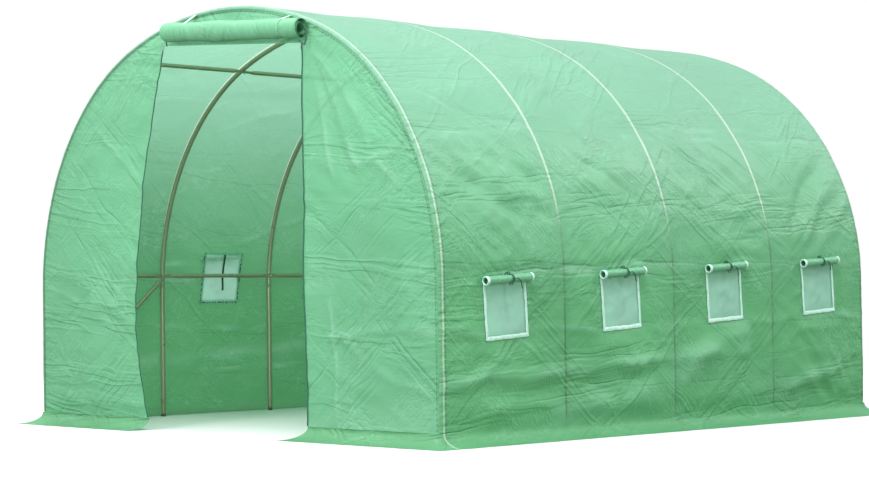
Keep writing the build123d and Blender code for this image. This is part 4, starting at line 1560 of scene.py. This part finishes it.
def set_stage():
    """Floor, background, lamps and the photo's camera."""
    scene = bpy.context.scene
    scene.view_settings.view_transform = "Standard"
    bm = bmesh.new()
    bmesh.ops.create_grid(bm, x_segments=1, y_segments=1, size=40)
    mesh = bpy.data.meshes.new("floor")
    bm.to_mesh(mesh)
    bm.free()
    floor_piece = bpy.data.objects.new("floor", mesh)
    scene.collection.objects.link(floor_piece)
    mesh.materials.append(plain_floor())
    scene.world = studio_world()

    add_lamp("AREA", "key", (4.5, -4.3, 7.0), (0.4, -0.9, 1.0), 250, size=2.5)
    add_lamp("AREA", "rake", (6.0, 10.5, 8.5), (0.8, 0, 1.1), 545, size=2.0)
    add_lamp("AREA", "top", (-2.5, -1.6, 7.5), (0, -0.5, 1.0), 250, size=4.0)
    add_lamp("AREA", "front", (1.6, -8.4, 3.6), (0, -1.5, 0.9), 320, size=2.4)
    add_lamp(
        "SPOT", "inside", (3.2, -5.0, 1.3), (-1.45, -0.4, 0.62), 210,
        spot_size=radians(21), spot_blend=0.8, shadow_soft_size=0.4,
    )

    lens = bpy.data.cameras.new("camera")
    lens.sensor_width = 36
    lens.sensor_fit = "HORIZONTAL"
    lens.lens = CAMERA_LENS
    camera = bpy.data.objects.new("camera", lens)
    heading, tilt, roll = (radians(turn) for turn in CAMERA_TURNS)
    turn = Matrix.Rotation(heading, 4, "Z") @ Matrix.Rotation(tilt, 4, "X") @ Matrix.Rotation(roll, 4, "Z")
    camera.matrix_world = Matrix.Translation(CAMERA_PLACE) @ turn
    scene.collection.objects.link(camera)
    scene.camera = camera


# Operators, one for each piece or group of like pieces

class TUNNEL_OT_stage(bpy.types.Operator):
    """Set the floor, the lights and the camera"""

    bl_idname = "tunnel.stage"
    bl_label = "Stage"

    def execute(self, context):
        set_stage()
        return {"FINISHED"}


class TUNNEL_OT_frame(bpy.types.Operator):
    """Make the painted tubes of the hoops, purlins and braces, and their bolts"""

    bl_idname = "tunnel.frame"
    bl_label = "Frame finish"

    def execute(self, context):
        hoop_tubes()
        rail_tubes()
        frame_bolts()
        return {"FINISHED"}


class TUNNEL_OT_cover(bpy.types.Operator):
    """Lay the main cover over the hoops"""

    bl_idname = "tunnel.cover"
    bl_label = "Main cover"

    def execute(self, context):
        main_cover()
        return {"FINISHED"}


class TUNNEL_OT_ends(bpy.types.Operator):
    """Hang the two end walls and lay their skirts"""

    bl_idname = "tunnel.ends"
    bl_label = "End walls"

    def execute(self, context):
        front_wall()
        rear_wall()
        end_skirts()
        return {"FINISHED"}


class TUNNEL_OT_door(bpy.types.Operator):
    """Roll up the door flap, with its ties and zips"""

    bl_idname = "tunnel.door"
    bl_label = "Door"

    def execute(self, context):
        door_roll()
        door_ties()
        door_cords()
        door_zips()
        zip_pulls()
        return {"FINISHED"}


class TUNNEL_OT_windows(bpy.types.Operator):
    """Fit the window nets, bindings, rolled flaps, ties and straps"""

    bl_idname = "tunnel.windows"
    bl_label = "Windows"

    def execute(self, context):
        for name, side in (("left", -1), ("right", 1)):
            window_nets(side, name)
            window_bindings(side, name)
            window_rolls(side, name)
        window_ties()
        window_straps()
        return {"FINISHED"}


class TUNNEL_PT_sidebar(bpy.types.Panel):
    """Lists the pieces of the polytunnel"""

    bl_idname = "TUNNEL_PT_sidebar"
    bl_label = "Polytunnel"
    bl_space_type = "VIEW_3D"
    bl_region_type = "UI"
    bl_category = "Polytunnel"

    def draw(self, context):
        for operator in OPERATORS:
            self.layout.operator(operator.bl_idname)
        for group in (context.scene.tunnel_sizes, context.scene.tunnel_colours):
            for name in group.bl_rna.properties.keys():
                if name not in ("rna_type", "name"):
                    self.layout.prop(group, name)


OPERATORS = (
    TUNNEL_OT_stage,
    TUNNEL_OT_frame,
    TUNNEL_OT_cover,
    TUNNEL_OT_ends,
    TUNNEL_OT_door,
    TUNNEL_OT_windows,
)
CLASSES = (TunnelSizes, TunnelColours, *OPERATORS, TUNNEL_PT_sidebar)


def register():
    for made in CLASSES:
        bpy.utils.register_class(made)
    bpy.types.Scene.tunnel_sizes = PointerProperty(type=TunnelSizes)
    bpy.types.Scene.tunnel_colours = PointerProperty(type=TunnelColours)


def unregister():
    del bpy.types.Scene.tunnel_colours
    del bpy.types.Scene.tunnel_sizes
    for made in reversed(CLASSES):
        bpy.utils.unregister_class(made)


def main():
    register()
    bpy.ops.tunnel.stage()
    bpy.ops.tunnel.frame()
    bpy.ops.tunnel.cover()
    bpy.ops.tunnel.ends()
    bpy.ops.tunnel.door()
    bpy.ops.tunnel.windows()


if __name__ == "__main__":
    main()
